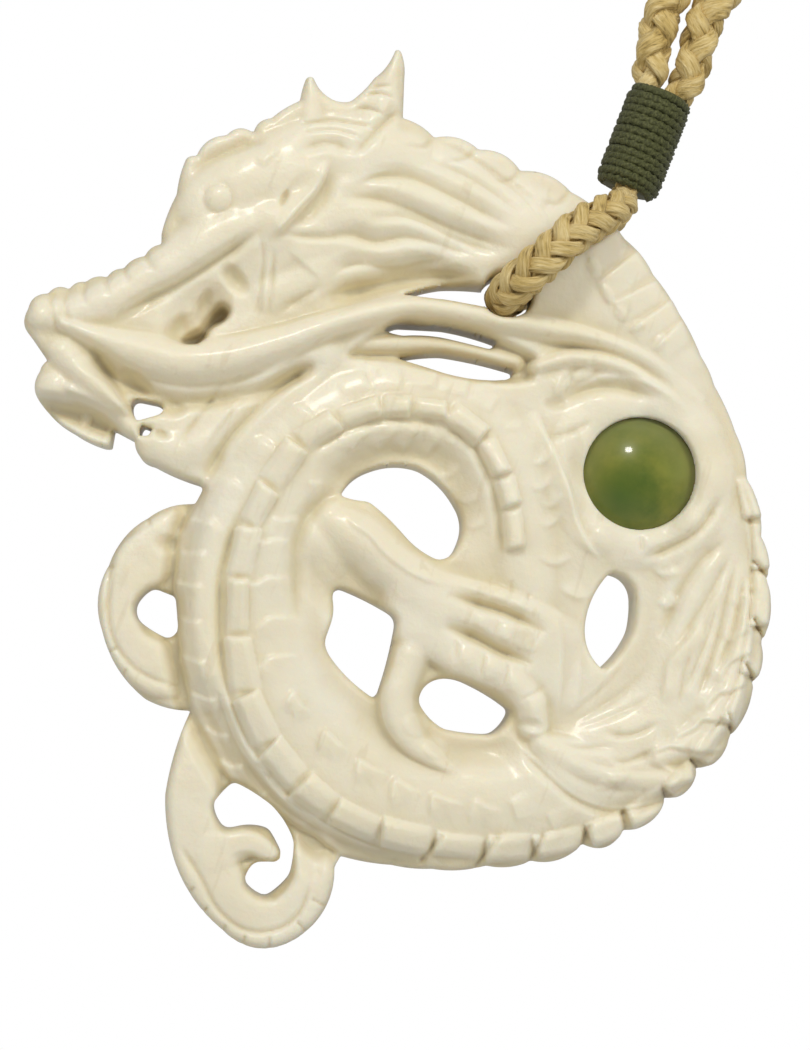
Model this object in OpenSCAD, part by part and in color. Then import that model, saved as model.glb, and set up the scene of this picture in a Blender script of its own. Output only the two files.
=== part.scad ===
// Carved bone dragon pendant on a braided cord, in millimetres, +Z up.
// The origin is where the cord lies on the nape. The carving faces -Y.
// Tables of the carving are drawn flat, as [across, up] from its middle, and placed as it hangs.

/* [Bone carving] */
// Depth of the flat back behind the middle plane
back_depth = 3.0; // [2.6:0.1:3.2]
// Height of the cut-down ground in front of the middle plane
ground_h = 0.6; // [0.3:0.1:0.9]
// Factor on the height of the raised work
relief_gain = 1.0; // [0.9:0.05:1.05]
// Height of the scale plates over the body
plate_h = 0.35; // [0.2:0.05:0.5]

/* [Stone] */
// Radius of the round stone
stone_r = 3.75; // [3.4:0.05:3.8]
// Height of its dome over the girdle
stone_dome = 1.7; // [1.2:0.1:2.0]
// Depth of the stone below its girdle
stone_foot = 1.4; // [1.0:0.1:1.6]

/* [Cord] */
// Radius of the braid where it lies free
cord_r = 1.5; // [1.3:0.05:1.5]

/* [Whipping] */
// Length of the thread winding
whip_len = 7.0; // [6.6:0.1:7.0]
// Outer radius of the winding
whip_r = 2.35; // [2.2:0.05:2.5]
// Wall of the winding
whip_wall = 0.35; // [0.3:0.01:0.4]

/* [Hanging] */
// Turn of the carving in its own plane as it hangs, in degrees
hang_tilt = 18; // [14:1:22]
// Place of the carving's middle as it hangs
hang_at = [-7.9, -120, -220];

/* [Hidden] */

seat_gap = 0.05;
arc_detail = 1.7;
dome_steps = 5;
root_depth = 1.2;
girdle_h = 1.7;
stone_at = [15.6, 3.1];
whip_foot = [14.9, 22.3, -0.2];
whip_lean = 21;
whip_start = 0.2;
slot_end_at = [7.2, 15.25];
slot_end_reach = [0.6, 0];
slot_end_r = 1.55;
// The mouth is hollowed from end to end: [across, up, height, radius]
mouth_hollow = [[-16.4, 12.6, 2.6, 1.1], [-11.4, 14.6, 2.6, 1.5]];

// Outline of the carving, clockwise from under the nose. Each row is a corner and the bulge of the
// edge that leaves it: [across, up, bulge]
outline_rows = [
    [-25.0, 12.0, 0.6], [-25.2, 14.1, 0.4], [-23.8, 15.0, 0.3], [-22.4, 15.3, 0.2], [-21.3, 15.8, 0.2],
    [-19.9, 16.1, 0.2], [-18.8, 16.7, 0.2], [-17.4, 17.5, 0.2], [-16.3, 18.3, 0.0], [-16.3, 19.0, 0.1],
    [-15.3, 21.7, 0.1], [-14.7, 24.1, 0.1], [-14.0, 24.3, 0.4], [-12.0, 25.7, 0.4], [-10.2, 25.9, 0.3],
    [-9.0, 26.9, 0.1], [-7.1, 28.1, 0.0], [-6.4, 29.9, -0.2], [-4.9, 28.2, -0.1], [-3.7, 28.1, -0.1],
    [-2.1, 29.7, -0.2], [-0.5, 31.7, 0.1], [-0.1, 29.7, 0.0], [-0.2, 27.0, 0.2], [1.9, 25.7, 0.4],
    [4.9, 24.9, 0.45], [7.7, 23.5, 0.45], [11.1, 22.1, 0.3], [14.7, 18.9, 0.2], [16.6, 16.5, 0.1],
    [18.3, 13.9, 0.1], [19.8, 11.0, 0.1], [20.7, 9.1, 0.1], [22.1, 5.9, 0.2], [22.8, 2.7, 0.4],
    [23.7, -1.1, 0.35], [24.1, -4.1, 0.5], [23.7, -8.2, 0.35], [23.2, -10.8, 0.4], [21.5, -14.5, 0.6],
    [19.3, -16.5, 0.65], [17.2, -18.5, 0.65], [14.4, -20.6, 0.7], [11.7, -21.5, 0.5], [8.3, -22.6, 0.25],
    [5.3, -22.9, 0.2], [1.7, -23.1, 0.1], [-0.9, -22.9, 0.1], [-4.3, -22.3, 0.0], [-4.7, -23.0, 0.75],
    [-7.2, -27.7, 1.0], [-12.2, -27.0, 0.35], [-15.2, -22.7, 0.2], [-15.9, -18.2, 0.2], [-14.3, -12.7, 0.2],
    [-17.3, -11.9, 0.45], [-20.1, -7.4, 0.5], [-19.7, -3.0, 0.4], [-17.2, 0.1, 0.3], [-14.0, 1.1, 0.0],
    [-13.5, 2.0, 0.0], [-13.7, 2.4, 0.1], [-16.8, 3.7, 0.1], [-17.7, 4.2, 0.1], [-18.0, 5.3, 0.0],
    [-19.5, 6.1, 0.0], [-19.7, 4.9, 0.0], [-20.1, 4.9, 0.1], [-22.2, 5.9, 0.2], [-24.4, 7.9, 0.3],
    [-24.3, 9.8, 0.1], [-23.8, 10.5, 0.0]];

// The pierced gaps, clockwise, as [across, up, bulge]
crest_gap = [[-4.4, 1.6, 0.3], [-2.4, 3.4, 0.3], [0.9, 3.5, 0.25], [3.3, 1.2, 0.4], [3.5, -1.6, 0.3],
    [2.1, -2.7, 0.15], [0.0, -1.2, -0.1], [-2.5, 1.2, 0.1]];
elbow_gap = [[-4.9, -5.1, 0.1], [-4.5, -4.5, 0.1], [-0.9, -6.3, 0.15], [-0.7, -7.3, 0.1], [-1.9, -11.8, 0.1],
    [-2.4, -11.7, 0.15], [-4.9, -9.3, 0.1], [-5.4, -8.1, 0.0], [-4.9, -6.7, -0.1]];
palm_gap = [[0.8, -12.1, 0.35], [2.1, -10.6, 0.2], [4.3, -11.0, 0.1], [7.0, -12.7, 0.2], [5.7, -14.3, 0.1],
    [2.5, -13.9, 0.2]];
haunch_gap = [[11.9, -7.1, 0.35], [13.6, -3.5, 0.4], [15.3, -4.9, 0.1], [15.1, -7.4, 0.2], [13.1, -10.0, 0.4]];
cord_slot = [[-0.1, 15.0, 0.1], [2.5, 15.5, 0.1], [6.4, 15.2, 0.0], [6.4, 14.0, 0.0], [2.5, 14.7, 0.05]];
upper_slit = [[-1.3, 12.7, 0.05], [-0.5, 13.0, 0.0], [2.5, 12.75, 0.1], [6.1, 11.7, 0.0], [5.7, 11.5, 0.0],
    [2.5, 12.35, -0.1], [-0.2, 12.5, 0.0]];
lower_slit = [[-0.4, 10.8, 0.1], [2.5, 10.95, 0.1], [7.2, 9.9, 0.1], [6.9, 9.5, 0.1], [3.9, 9.6, 0.05],
    [2.0, 10.1, 0.0]];
mouth_gap = [[-15.1, 12.0, 0.0], [-14.2, 12.5, 0.0], [-12.9, 14.1, 0.1], [-11.9, 14.1, 0.1], [-11.9, 13.6, 0.0],
    [-12.9, 12.8, 0.0], [-13.9, 11.7, 0.1]];
fang_gap = [[-18.3, 7.3, 0.0], [-18.3, 7.8, 0.05], [-17.9, 8.1, 0.0], [-16.5, 7.8, 0.05], [-16.1, 7.3, 0.05],
    [-16.5, 6.9, 0.0], [-17.9, 6.5, 0.0]];
lip_gap = [[-17.7, 5.5, 0.0], [-17.7, 6.0, 0.0], [-17.5, 6.3, 0.0], [-16.8, 6.0, 0.0], [-17.1, 5.5, 0.0]];
small_curl_gap = [[-18.0, -5.7, 0.15], [-16.8, -4.5, 0.0], [-15.3, -5.1, 0.0], [-15.1, -7.3, 0.1],
    [-15.8, -7.9, 0.1], [-17.8, -6.7, 0.1]];
large_curl_gap = [[-12.8, -18.9, 0.1], [-11.4, -17.4, 0.1], [-8.9, -18.9, 0.15], [-7.4, -21.3, 0.1],
    [-7.7, -23.7, 0.1], [-9.3, -25.1, 0.15], [-10.7, -24.1, 0.15], [-10.0, -22.7, 0.05], [-8.5, -22.7, 0.0],
    [-8.2, -22.3, -0.05], [-9.1, -20.6, -0.2], [-11.4, -20.5, 0.05], [-12.1, -20.5, 0.15]];
gaps = [crest_gap, elbow_gap, palm_gap, haunch_gap, cord_slot, upper_slit, lower_slit, mouth_gap, fang_gap,
    lip_gap, small_curl_gap, large_curl_gap];

// Raised forms, each a run of sections: [across, up, half width, crest height]
body_rows = [[17.0, 12.0, 3.8, 2.6], [18.6, 6.5, 3.6, 2.6], [20.0, -1.0, 4.0, 2.7], [19.6, -7.5, 4.3, 2.9],
    [17.6, -12.5, 4.5, 3.0], [12.6, -16.6, 4.6, 3.1], [5.0, -18.9, 4.5, 3.2], [-2.3, -17.9, 4.8, 3.2],
    [-7.7, -13.4, 5.0, 3.2], [-10.3, -5.9, 5.0, 3.2], [-9.4, 1.0, 4.8, 3.1], [-5.7, 5.8, 4.3, 3.0],
    [-0.3, 7.3, 3.8, 2.9], [4.5, 6.2, 3.6, 2.7], [7.2, 2.0, 3.3, 2.4], [7.9, -2.8, 2.8, 2.1],
    [8.4, -6.0, 2.2, 1.9]];
neck_rows = [[-9.0, 18.8, 4.4, 3.0], [-4.0, 20.6, 5.8, 3.3], [1.7, 20.6, 5.7, 3.2], [7.7, 19.2, 4.7, 2.9],
    [13.0, 16.0, 4.6, 2.7], [17.0, 11.0, 4.2, 2.6]];
snout_rows = [[-24.0, 13.4, 1.6, 2.4], [-20.5, 14.2, 1.9, 2.7], [-16.2, 16.0, 2.3, 3.1], [-12.0, 18.5, 2.8, 3.3],
    [-8.0, 19.6, 3.2, 3.3]];
skull_rows = [[-13.2, 20.8, 2.9, 2.9], [-9.5, 22.8, 3.4, 3.2], [-4.5, 24.6, 3.2, 3.2], [0.0, 24.4, 2.4, 2.8]];
cheek_rows = [[-11.0, 13.4, 1.4, 2.4], [-8.0, 15.0, 2.6, 2.9], [-4.5, 16.4, 2.6, 2.8], [0.0, 17.2, 1.8, 2.4]];
jaw_rows = [[-23.2, 8.6, 1.7, 2.2], [-20.0, 7.6, 1.4, 2.0], [-16.8, 5.2, 1.4, 2.0], [-13.0, 4.9, 2.3, 2.3],
    [-9.2, 8.0, 2.8, 2.5], [-5.6, 11.2, 2.0, 2.4], [-2.6, 12.6, 1.0, 1.8]];
whisker_rows = [[-23.2, 12.8, 0.8, 2.9], [-20.3, 11.6, 0.9, 3.2], [-15.0, 9.5, 1.0, 3.4], [-10.3, 10.9, 1.0, 3.5],
    [-5.0, 13.0, 0.9, 3.5], [-0.3, 14.1, 0.8, 3.3], [2.6, 14.0, 0.7, 3.1], [6.6, 13.0, 0.7, 2.9],
    [10.0, 12.4, 0.6, 2.9], [13.2, 12.0, 0.3, 2.8]];
rear_whisker_rows = [[-4.9, 11.5, 0.6, 1.6], [-0.8, 11.8, 0.7, 1.4], [3.0, 11.6, 0.7, 1.3], [7.4, 10.6, 0.6, 1.3]];
arm_rows = [[-5.4, -1.2, 2.2, 2.4], [-3.0, -2.0, 2.9, 3.0], [0.0, -4.4, 2.9, 3.3], [2.4, -6.6, 3.4, 3.4],
    [4.6, -7.4, 2.6, 3.1]];
finger_tables = [
    [[2.4, -4.0, 1.0, 3.4], [6.0, -4.6, 0.9, 3.5], [9.2, -5.8, 0.7, 3.2]],
    [[2.6, -6.2, 1.0, 3.5], [6.0, -6.9, 0.9, 3.6], [9.6, -8.2, 0.7, 3.2]],
    [[2.6, -8.2, 1.0, 3.5], [5.8, -8.9, 0.9, 3.6], [8.9, -10.6, 0.8, 3.4], [9.5, -14.0, 0.4, 3.0]],
    [[0.8, -8.6, 1.3, 3.3], [-0.6, -11.4, 1.3, 3.5], [-0.2, -14.4, 1.2, 3.5], [2.8, -16.6, 0.5, 3.2]]];
small_curl_rows = [[-12.6, -0.9, 1.9, 1.9], [-16.2, -1.8, 2.0, 1.9], [-18.9, -4.6, 1.6, 1.8], [-18.8, -8.0, 1.5, 1.7],
    [-16.4, -9.9, 1.8, 1.7], [-13.0, -9.6, 1.7, 1.7]];
large_curl_rows = [[-12.6, -13.2, 1.9, 1.9], [-14.2, -18.2, 1.7, 1.8], [-13.7, -22.2, 2.2, 1.8],
    [-11.4, -25.8, 1.8, 1.7], [-8.4, -26.6, 1.5, 1.6], [-6.2, -24.4, 1.4, 1.6], [-6.0, -21.4, 1.5, 1.6],
    [-7.2, -18.4, 1.7, 1.7]];
hook_rows = [[-12.6, -21.9, 1.4, 1.8], [-10.4, -21.4, 0.9, 1.7], [-9.0, -22.0, 0.5, 1.5]];
ridge_tables = [body_rows, neck_rows, snout_rows, skull_rows, cheek_rows, jaw_rows, whisker_rows,
    rear_whisker_rows, arm_rows, small_curl_rows, large_curl_rows, hook_rows];

// Pointed locks and horns: [root across, root up, tip across, tip up, root half width, crest height]
lock_rows = [
    [-2.4, 26.0, -0.7, 31.2, 1.3, 2.4], [-6.6, 26.4, -6.5, 29.6, 0.9, 2.2], [-6.6, 18.9, -5.4, 24.6, 0.8, 3.9],
    [1.0, 22.6, 9.4, 18.9, 0.6, 3.5], [0.6, 21.0, 8.4, 17.9, 0.6, 3.6], [0.6, 19.4, 6.9, 17.4, 0.6, 3.5],
    [0.4, 17.9, 5.0, 16.7, 0.5, 3.2],
    [16.2, -3.6, 21.2, -5.8, 0.9, 3.4], [16.0, -5.6, 20.6, -9.6, 0.9, 3.5], [15.6, -7.8, 19.2, -13.0, 0.9, 3.6],
    [14.6, -9.8, 16.6, -16.0, 0.9, 3.7], [13.4, -11.0, 13.4, -17.8, 0.9, 3.7], [11.6, -14.2, 17.6, -18.2, 0.8, 3.8],
    [-21.2, 11.0, -18.6, 7.3, 0.7, 2.6]];

// The paw that holds the stone: [ring radius, tube radius, crest height]
paw_ring = [4.75, 1.15, 2.6];
arch_rows = [[9.2, 8.6, 0.9, 2.9], [12.0, 11.0, 0.9, 3.2], [16.0, 11.4, 1.0, 3.3], [19.6, 8.8, 0.9, 3.1],
    [21.2, 4.6, 0.7, 2.9]];

// Plates along the coil: [first place along it, last place, step, sideways place, length, width]
plate_runs = [[4.0, 12.4, 0.26, -0.42, 1.5, 1.7], [4.4, 14.6, 0.30, 0.22, 1.2, 0.7]];

// Middle line of the braid through the bone, from the winding's front to its back:
// [across, up, forward, radius]
loop_rows = [[14.4, 21.0, 2.4, 1.15], [13.5, 20.4, 3.8, 1.35], [11.4, 19.1, 4.75, 1.5], [9.8, 17.7, 4.9, 1.5],
    [8.4, 16.4, 4.4, 1.4], [7.5, 15.6, 3.0, 1.25], [7.2, 15.25, 1.2, 1.2], [7.2, 15.25, -0.4, 1.2],
    [7.3, 15.3, -2.0, 1.2], [7.8, 15.7, -3.7, 1.25], [9.0, 16.8, -4.9, 1.4], [10.8, 18.4, -5.1, 1.45],
    [12.6, 19.7, -5.1, 1.4], [13.7, 20.6, -4.9, 1.3], [14.4, 21.1, -2.9, 1.1]];

// The same braid inside the winding: [along the winding, across it, forward, radius]
front_bound_rows = [[3.5, -0.95, 0.0, 0.9], [3.1, -0.95, 0.0, 0.9], [2.3, -0.8, 0.5, 0.9],
    [1.5, -0.42, 0.85, 0.9], [0.8, -0.1, 0.95, 0.9], [0.1, 0.0, 0.95, 0.88], [-0.5, 0.0, 0.98, 0.9]];
back_bound_rows = [[-0.5, 0.0, -0.98, 0.9], [0.1, 0.0, -0.95, 0.88], [0.8, 0.1, -0.95, 0.9],
    [1.5, 0.42, -0.85, 0.9], [2.3, 0.8, -0.5, 0.9], [3.1, 0.95, 0.0, 0.9], [3.5, 0.95, 0.0, 0.9]];

// The cord's two passes through the upper half of the winding: [along it, across it, forward, radius]
pass_rows = [[3.7, 0.95, 0, 0.9], [5.0, 0.95, 0, 0.9], [6.4, 0.95, 0, 0.9], [7.3, 0.97, 0, 0.9], [8.0, 1.15, 0, 1.12]];
left_free_rows = [[16.8, 31.4, 0.0, 1.4], [17.4, 34.2, 0.1, 1.45]];
right_free_rows = [[19.6, 31.0, 0.0, 1.4], [20.4, 34.0, 0.1, 1.45]];

// Middle line of the cord round the neck, right half, from the chest to the nape: [x, y, z]
neck_points = [[1.9, -119.6, -178.0], [5.6, -118.4, -171], [15, -113, -152], [27.5, -105, -127], [39, -95, -101],
    [49, -84, -76], [57, -70, -52], [61, -52, -32], [57, -32, -16], [44, -14, -6], [24, -2, -1]];
nape_point = [0, 1.5, 0];

// Points on an edge that bulges by s between a and b
function bulged(a, b, s) =
    let(d = [b[0] - a[0], b[1] - a[1]], reach = norm(d), out = [-d[1], d[0]] / reach,
        n = abs(s) < 0.01 ? 1 : max(2, ceil(sqrt(reach * abs(s)) * arc_detail)))
    [for (k = [0:n - 1]) [a[0], a[1]] + d * k / n + out * 4 * s * (k / n) * (1 - k / n)];
function edge_points(rows) =
    [for (i = [0:len(rows) - 1]) each bulged(rows[i], rows[(i + 1) % len(rows)], rows[i][2])];

// A smooth curve through rows, with n steps between two rows
function between(a, b, c, d, t) =
    0.5 * (2 * b + (c - a) * t + (2 * a - 5 * b + 4 * c - d) * t * t + (3 * b - a - 3 * c + d) * t * t * t);
function curve_at(rows, s) =
    let(last = len(rows) - 1, i = min(floor(s), last - 1))
    between(rows[max(i - 1, 0)], rows[i], rows[i + 1], rows[min(i + 2, last)], s - i);
function smooth(rows, n) = [for (k = [0:(len(rows) - 1) * n]) curve_at(rows, k / n)];
function heading(rows, i) =
    let(a = rows[max(i - 1, 0)], b = rows[min(i + 1, len(rows) - 1)], d = [b[0] - a[0], b[1] - a[1]])
    d / norm(d);
function first3(row) = [row[0], row[1], row[2]];

// Joins rings of the same number of points into one closed solid
function ring_faces(rings, sides) = concat(
    [[for (j = [0:sides - 1]) j]],
    [for (i = [0:rings - 2]) for (j = [0:sides - 1]) let(k = (j + 1) % sides, a = i * sides, b = a + sides)
        each [[a + j, b + j, b + k], [a + j, b + k, a + k]]],
    [[for (j = [sides - 1:-1:0]) (rings - 1) * sides + j]]);

// A raised form with a domed section, rooted in the ground
module ridge(rows, n = 2) {
    r = smooth(rows, n);
    sides = dome_steps + 3;
    low = ground_h - root_depth;
    points = [for (i = [0:len(r) - 1]) let(d = heading(r, i), side = [-d[1], d[0]])
        for (k = [0:dome_steps + 2])
            let(a = 180 * k / dome_steps,
                reach = k <= dome_steps ? cos(a) : (k == dome_steps + 1 ? -1 : 1),
                h = k <= dome_steps ? low + 0.6 + (r[i][3] * relief_gain - low - 0.6) * sin(a) : low)
            [r[i][0] + side[0] * r[i][2] * reach, r[i][1] + side[1] * r[i][2] * reach, h]];
    polyhedron(points, ring_faces(len(r), sides), convexity = 8);
}

// A tube of round section along points with a radius each: [x, y, z, radius]
module tube(rows, sides) {
    count = len(rows);
    points = [for (i = [0:count - 1])
        let(t = first3(rows[min(i + 1, count - 1)]) - first3(rows[max(i - 1, 0)]),
            d = t / norm(t),
            a = cross(d, [0.2, 0.97, 0.1]),
            e = a / norm(a),
            f = cross(d, e))
        for (j = [0:sides - 1])
            first3(rows[i]) + rows[i][3] * (e * cos(360 * j / sides) + f * sin(360 * j / sides))];
    polyhedron(points, ring_faces(count, sides), convexity = 10);
}

// A pointed lock of hair, horn or tooth
module lock(row) {
    low = ground_h - root_depth;
    hull() {
        translate([row[0], row[1], low]) cylinder(h = 0.1, r = row[4], $fn = 10);
        translate([row[0], row[1], row[5] * relief_gain - 0.5]) sphere(r = row[4] * 0.6, $fn = 8);
        translate([row[2], row[3], low]) cylinder(h = row[5] * relief_gain - low - 0.5, r = 0.15, $fn = 5);
    }
}

// Scale plates that follow the coil
module plates(run) {
    for (s = [run[0]:run[2]:run[1]]) {
        here = curve_at(body_rows, s);
        next = curve_at(body_rows, s + 0.05);
        turn = atan2(next[1] - here[1], next[0] - here[0]);
        side = run[3] * here[2] * 2;
        drop = sqrt(1 - pow(run[3] * 1.5, 2));
        translate([here[0], here[1], 0])
            rotate(turn)
            translate([-run[4] / 2, side - run[5] / 2, 0])
            cube([run[4], run[5], ground_h + (here[3] - ground_h) * drop + plate_h]);
    }
}

// The paw cup: a ring with a domed section round the socket
module paw_cup() {
    translate([stone_at[0], stone_at[1], 0])
        rotate_extrude($fn = 28)
        translate([paw_ring[0], 0])
        polygon([for (a = [0:30:180]) [paw_ring[1] * cos(a), paw_ring[2] * sin(a)]]);
}

// The bone plate with its outline and pierced gaps
module pierced_plate() {
    translate([0, 0, -back_depth])
        linear_extrude(back_depth + 6)
        difference() {
            polygon(edge_points(outline_rows));
            for (gap = gaps) polygon(edge_points(gap));
            hull() {
                translate(slot_end_at - slot_end_reach) circle(r = slot_end_r, $fn = 16);
                translate(slot_end_at + slot_end_reach) circle(r = slot_end_r, $fn = 16);
            }
        }
}

module relief() {
    translate([-30, -30, -back_depth - 1]) cube([60, 65, back_depth + 1 + ground_h]);
    for (table = ridge_tables) ridge(table);
    for (table = finger_tables) ridge(table);
    ridge(arch_rows);
    for (row = lock_rows) lock(row);
    for (run = plate_runs) plates(run);
    paw_cup();
}

// Moves what is drawn flat to where the carving hangs
module hung() {
    translate(hang_at) rotate([0, -hang_tilt, 0]) rotate([90, 0, 0]) children();
}
function hung_point(p) =
    let(c = cos(hang_tilt), s = sin(hang_tilt))
    [hang_at[0] + p[0] * c - p[1] * s, hang_at[1] - p[2], hang_at[2] + p[0] * s + p[1] * c];
function hung_row(row) = concat(hung_point(row), [row[3]]);
function bound_row(row, hand = 1) =
    let(c = cos(whip_lean), s = sin(whip_lean))
    [whip_foot[0] + row[0] * s + hand * row[1] * c, whip_foot[1] + row[0] * c - hand * row[1] * s,
        whip_foot[2] + row[2], row[3]];
function backwards(rows) = [for (i = [len(rows) - 1:-1:0]) rows[i]];

module carved_dragon() {
    color("ivory")
        hung()
        difference() {
            intersection() {
                pierced_plate();
                relief();
            }
            translate([stone_at[0], stone_at[1], girdle_h - stone_foot - seat_gap])
                cylinder(h = 6, r = stone_r + seat_gap, $fn = 48);
            hull()
                for (end = mouth_hollow)
                    translate([end[0], end[1], end[2]]) sphere(r = end[3], $fn = 10);
        }
}

module jade_stone() {
    dome_r = (stone_r * stone_r + stone_dome * stone_dome) / (2 * stone_dome);
    color("darkolivegreen")
        hung()
        translate([stone_at[0], stone_at[1], girdle_h]) {
            intersection() {
                translate([0, 0, stone_dome - dome_r]) sphere(r = dome_r, $fn = 64);
                cylinder(h = stone_dome + 1, r = stone_r, $fn = 64);
            }
            translate([0, 0, -stone_foot]) cylinder(h = stone_foot, r = stone_r, $fn = 64);
        }
}

module pendant_loop() {
    route = concat([for (row = front_bound_rows) bound_row(row)], loop_rows,
        [for (row = back_bound_rows) bound_row(row)]);
    color("tan") tube([for (row = smooth(route, 2)) hung_row(row)], 8);
}

function mirrored(p) = [-p[0], p[1], p[2]];
function with_radius(p) = concat(p, [cord_r]);

module neck_cord() {
    right_start = concat([for (row = pass_rows) bound_row(row)], right_free_rows);
    left_start = concat([for (row = pass_rows) bound_row(row, -1)], left_free_rows);
    right = [for (p = neck_points) with_radius(p)];
    left = [for (p = neck_points) with_radius(mirrored(p))];
    route = concat([for (row = right_start) hung_row(row)], right, [with_radius(nape_point)],
        backwards(left), [for (row = backwards(left_start)) hung_row(row)]);
    color("tan") tube(smooth(route, 2), 8);
}

module cord_whipping() {
    color("darkolivegreen")
        hung()
        translate(whip_foot)
        rotate([-90, 0, 0])
        rotate([0, whip_lean, 0])
        translate([0, 0, whip_start])
        difference() {
            cylinder(h = whip_len, r = whip_r, $fn = 32);
            translate([0, 0, -1]) cylinder(h = whip_len + 2, r = whip_r - whip_wall, $fn = 32);
        }
}

carved_dragon();
jade_stone();
pendant_loop();
neck_cord();
cord_whipping();
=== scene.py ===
# A carved bone dragon pendant with a jade stone, hanging on its braided cord as it is worn.
# Carving tables are drawn flat in millimetres, as [across, up] from its middle, and placed as it hangs.
import math

import bmesh
import bpy
import numpy as np
from mathutils import Matrix, Vector


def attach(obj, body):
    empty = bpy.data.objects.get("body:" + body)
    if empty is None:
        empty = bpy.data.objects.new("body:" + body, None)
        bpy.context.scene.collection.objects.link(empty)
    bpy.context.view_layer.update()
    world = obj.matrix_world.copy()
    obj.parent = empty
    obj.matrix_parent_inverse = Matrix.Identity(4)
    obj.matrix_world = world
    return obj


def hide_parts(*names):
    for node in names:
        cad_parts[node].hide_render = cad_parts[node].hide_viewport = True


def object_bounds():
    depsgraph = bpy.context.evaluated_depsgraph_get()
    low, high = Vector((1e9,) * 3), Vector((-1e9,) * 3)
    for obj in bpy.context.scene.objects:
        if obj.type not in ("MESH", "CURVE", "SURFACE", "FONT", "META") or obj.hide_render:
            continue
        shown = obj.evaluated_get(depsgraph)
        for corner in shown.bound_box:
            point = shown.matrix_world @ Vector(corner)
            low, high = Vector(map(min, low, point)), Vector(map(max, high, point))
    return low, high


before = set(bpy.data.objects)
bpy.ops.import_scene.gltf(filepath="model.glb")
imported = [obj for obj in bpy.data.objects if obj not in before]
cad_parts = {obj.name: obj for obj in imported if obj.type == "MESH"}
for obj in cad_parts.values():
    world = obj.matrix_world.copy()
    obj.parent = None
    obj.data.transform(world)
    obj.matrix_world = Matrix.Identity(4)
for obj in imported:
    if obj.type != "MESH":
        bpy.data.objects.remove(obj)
cad_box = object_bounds()

# Camera and the place where the carving hangs.
# The pendant is seen nearly square on, from a little below and to the left, and the carving's own upright
# stands upright in the picture.
MM = 0.001
HANG_TILT = math.radians(18)
HANG_AT = (-7.9, -120.0, -220.0)
VIEW_DISTANCE = 179.6
VIEW_PITCH = math.radians(3.4)
VIEW_SIDE = math.radians(2.5)
VIEW_MIDDLE = (-0.06, -0.36, 1.5)
LENS = 92.6
SENSOR = 36.0


def hung(points):
    """Moves what is drawn flat, in millimetres, to where the carving hangs, in metres."""
    p = np.asarray(points, float)
    c, s = math.cos(HANG_TILT), math.sin(HANG_TILT)
    x = HANG_AT[0] + p[..., 0] * c - p[..., 1] * s
    y = HANG_AT[1] - p[..., 2]
    z = HANG_AT[2] + p[..., 0] * s + p[..., 1] * c
    return np.stack([x, y, z], -1) * MM


camera = bpy.data.objects.new("camera", bpy.data.cameras.new("camera"))
bpy.context.scene.collection.objects.link(camera)
camera.data.sensor_width = SENSOR
camera.data.lens = LENS
eye = (-VIEW_DISTANCE * math.sin(VIEW_SIDE), -VIEW_DISTANCE * math.sin(VIEW_PITCH),
       VIEW_MIDDLE[2] + VIEW_DISTANCE * math.cos(VIEW_PITCH) * math.cos(VIEW_SIDE))
camera_at = Vector(hung(eye))
looking = (Vector(hung(VIEW_MIDDLE)) - camera_at).normalized()
upright = (Vector(hung((0, 1, 0))) - Vector(hung((0, 0, 0)))).normalized()
camera_right = looking.cross(upright).normalized()
camera_up = camera_right.cross(looking)
axes = Matrix((camera_right, camera_up, -looking)).transposed().to_4x4()
camera.matrix_world = Matrix.Translation(camera_at) @ axes
camera.data.clip_start = 0.01
camera.data.clip_end = 20.0
bpy.context.scene.camera = camera

# Floor and soft studio light.
# A pale floor under the hanging pendant, and white all round. The key lamp is at the upper left and alone
# shows in the polish. One about as strong is at the upper right, and a faint one at the left.
FLOOR_DROP = 0.2
FLOOR_HALF = 0.6
FLOOR_COLOUR = (0.86, 0.86, 0.85, 1)
FLOOR_ROUGHNESS = 0.8
ROOM_WHITE = (1.0, 1.0, 1.0, 1)
ROOM_SEEN = 1.0
ROOM_LIGHT = 0.39
LAMPS = {
    # name: place in the drawing (across, up, forward) in mm, size in mm, power in watts, colour
    "key_lamp": ((-70, 258, 300), 70, 0.48, (1.0, 0.98, 0.95)),
    "fill_lamp": ((200, 140, 290), 160, 0.55, (0.97, 0.98, 1.0)),
    "side_lamp": ((-280, 60, 160), 180, 0.06, (1.0, 1.0, 1.0)),
}


def add_node(tree, kind, values=None):
    """A new node of a kind, with its inputs set by name."""
    node = tree.nodes.new(f"ShaderNode{kind}")
    for socket, value in (values or {}).items():
        node.inputs[socket].default_value = value
    return node


def new_finish(name, values):
    """A new material with its shader's inputs set by name, its node tree and its shader."""
    finish = bpy.data.materials.new(name)
    finish.use_nodes = True
    shader = finish.node_tree.nodes["Principled BSDF"]
    for socket, value in values.items():
        shader.inputs[socket].default_value = value
    return finish, finish.node_tree, shader


def link_chain(tree, *pairs):
    """Links sockets in pairs: an output, then the input that it feeds."""
    for output, target in zip(pairs[::2], pairs[1::2]):
        tree.links.new(output, target)


floor_mesh = bmesh.new()
bmesh.ops.create_grid(floor_mesh, x_segments=1, y_segments=1, size=FLOOR_HALF)
floor_data = bpy.data.meshes.new("floor")
floor_mesh.to_mesh(floor_data)
floor_mesh.free()
floor = bpy.data.objects.new("floor", floor_data)
floor.location.z = cad_box[0].z - FLOOR_DROP
bpy.context.scene.collection.objects.link(floor)
floor_paint = new_finish("floor_paint", {"Base Color": FLOOR_COLOUR, "Roughness": FLOOR_ROUGHNESS})[0]
floor.data.materials.append(floor_paint)

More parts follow.
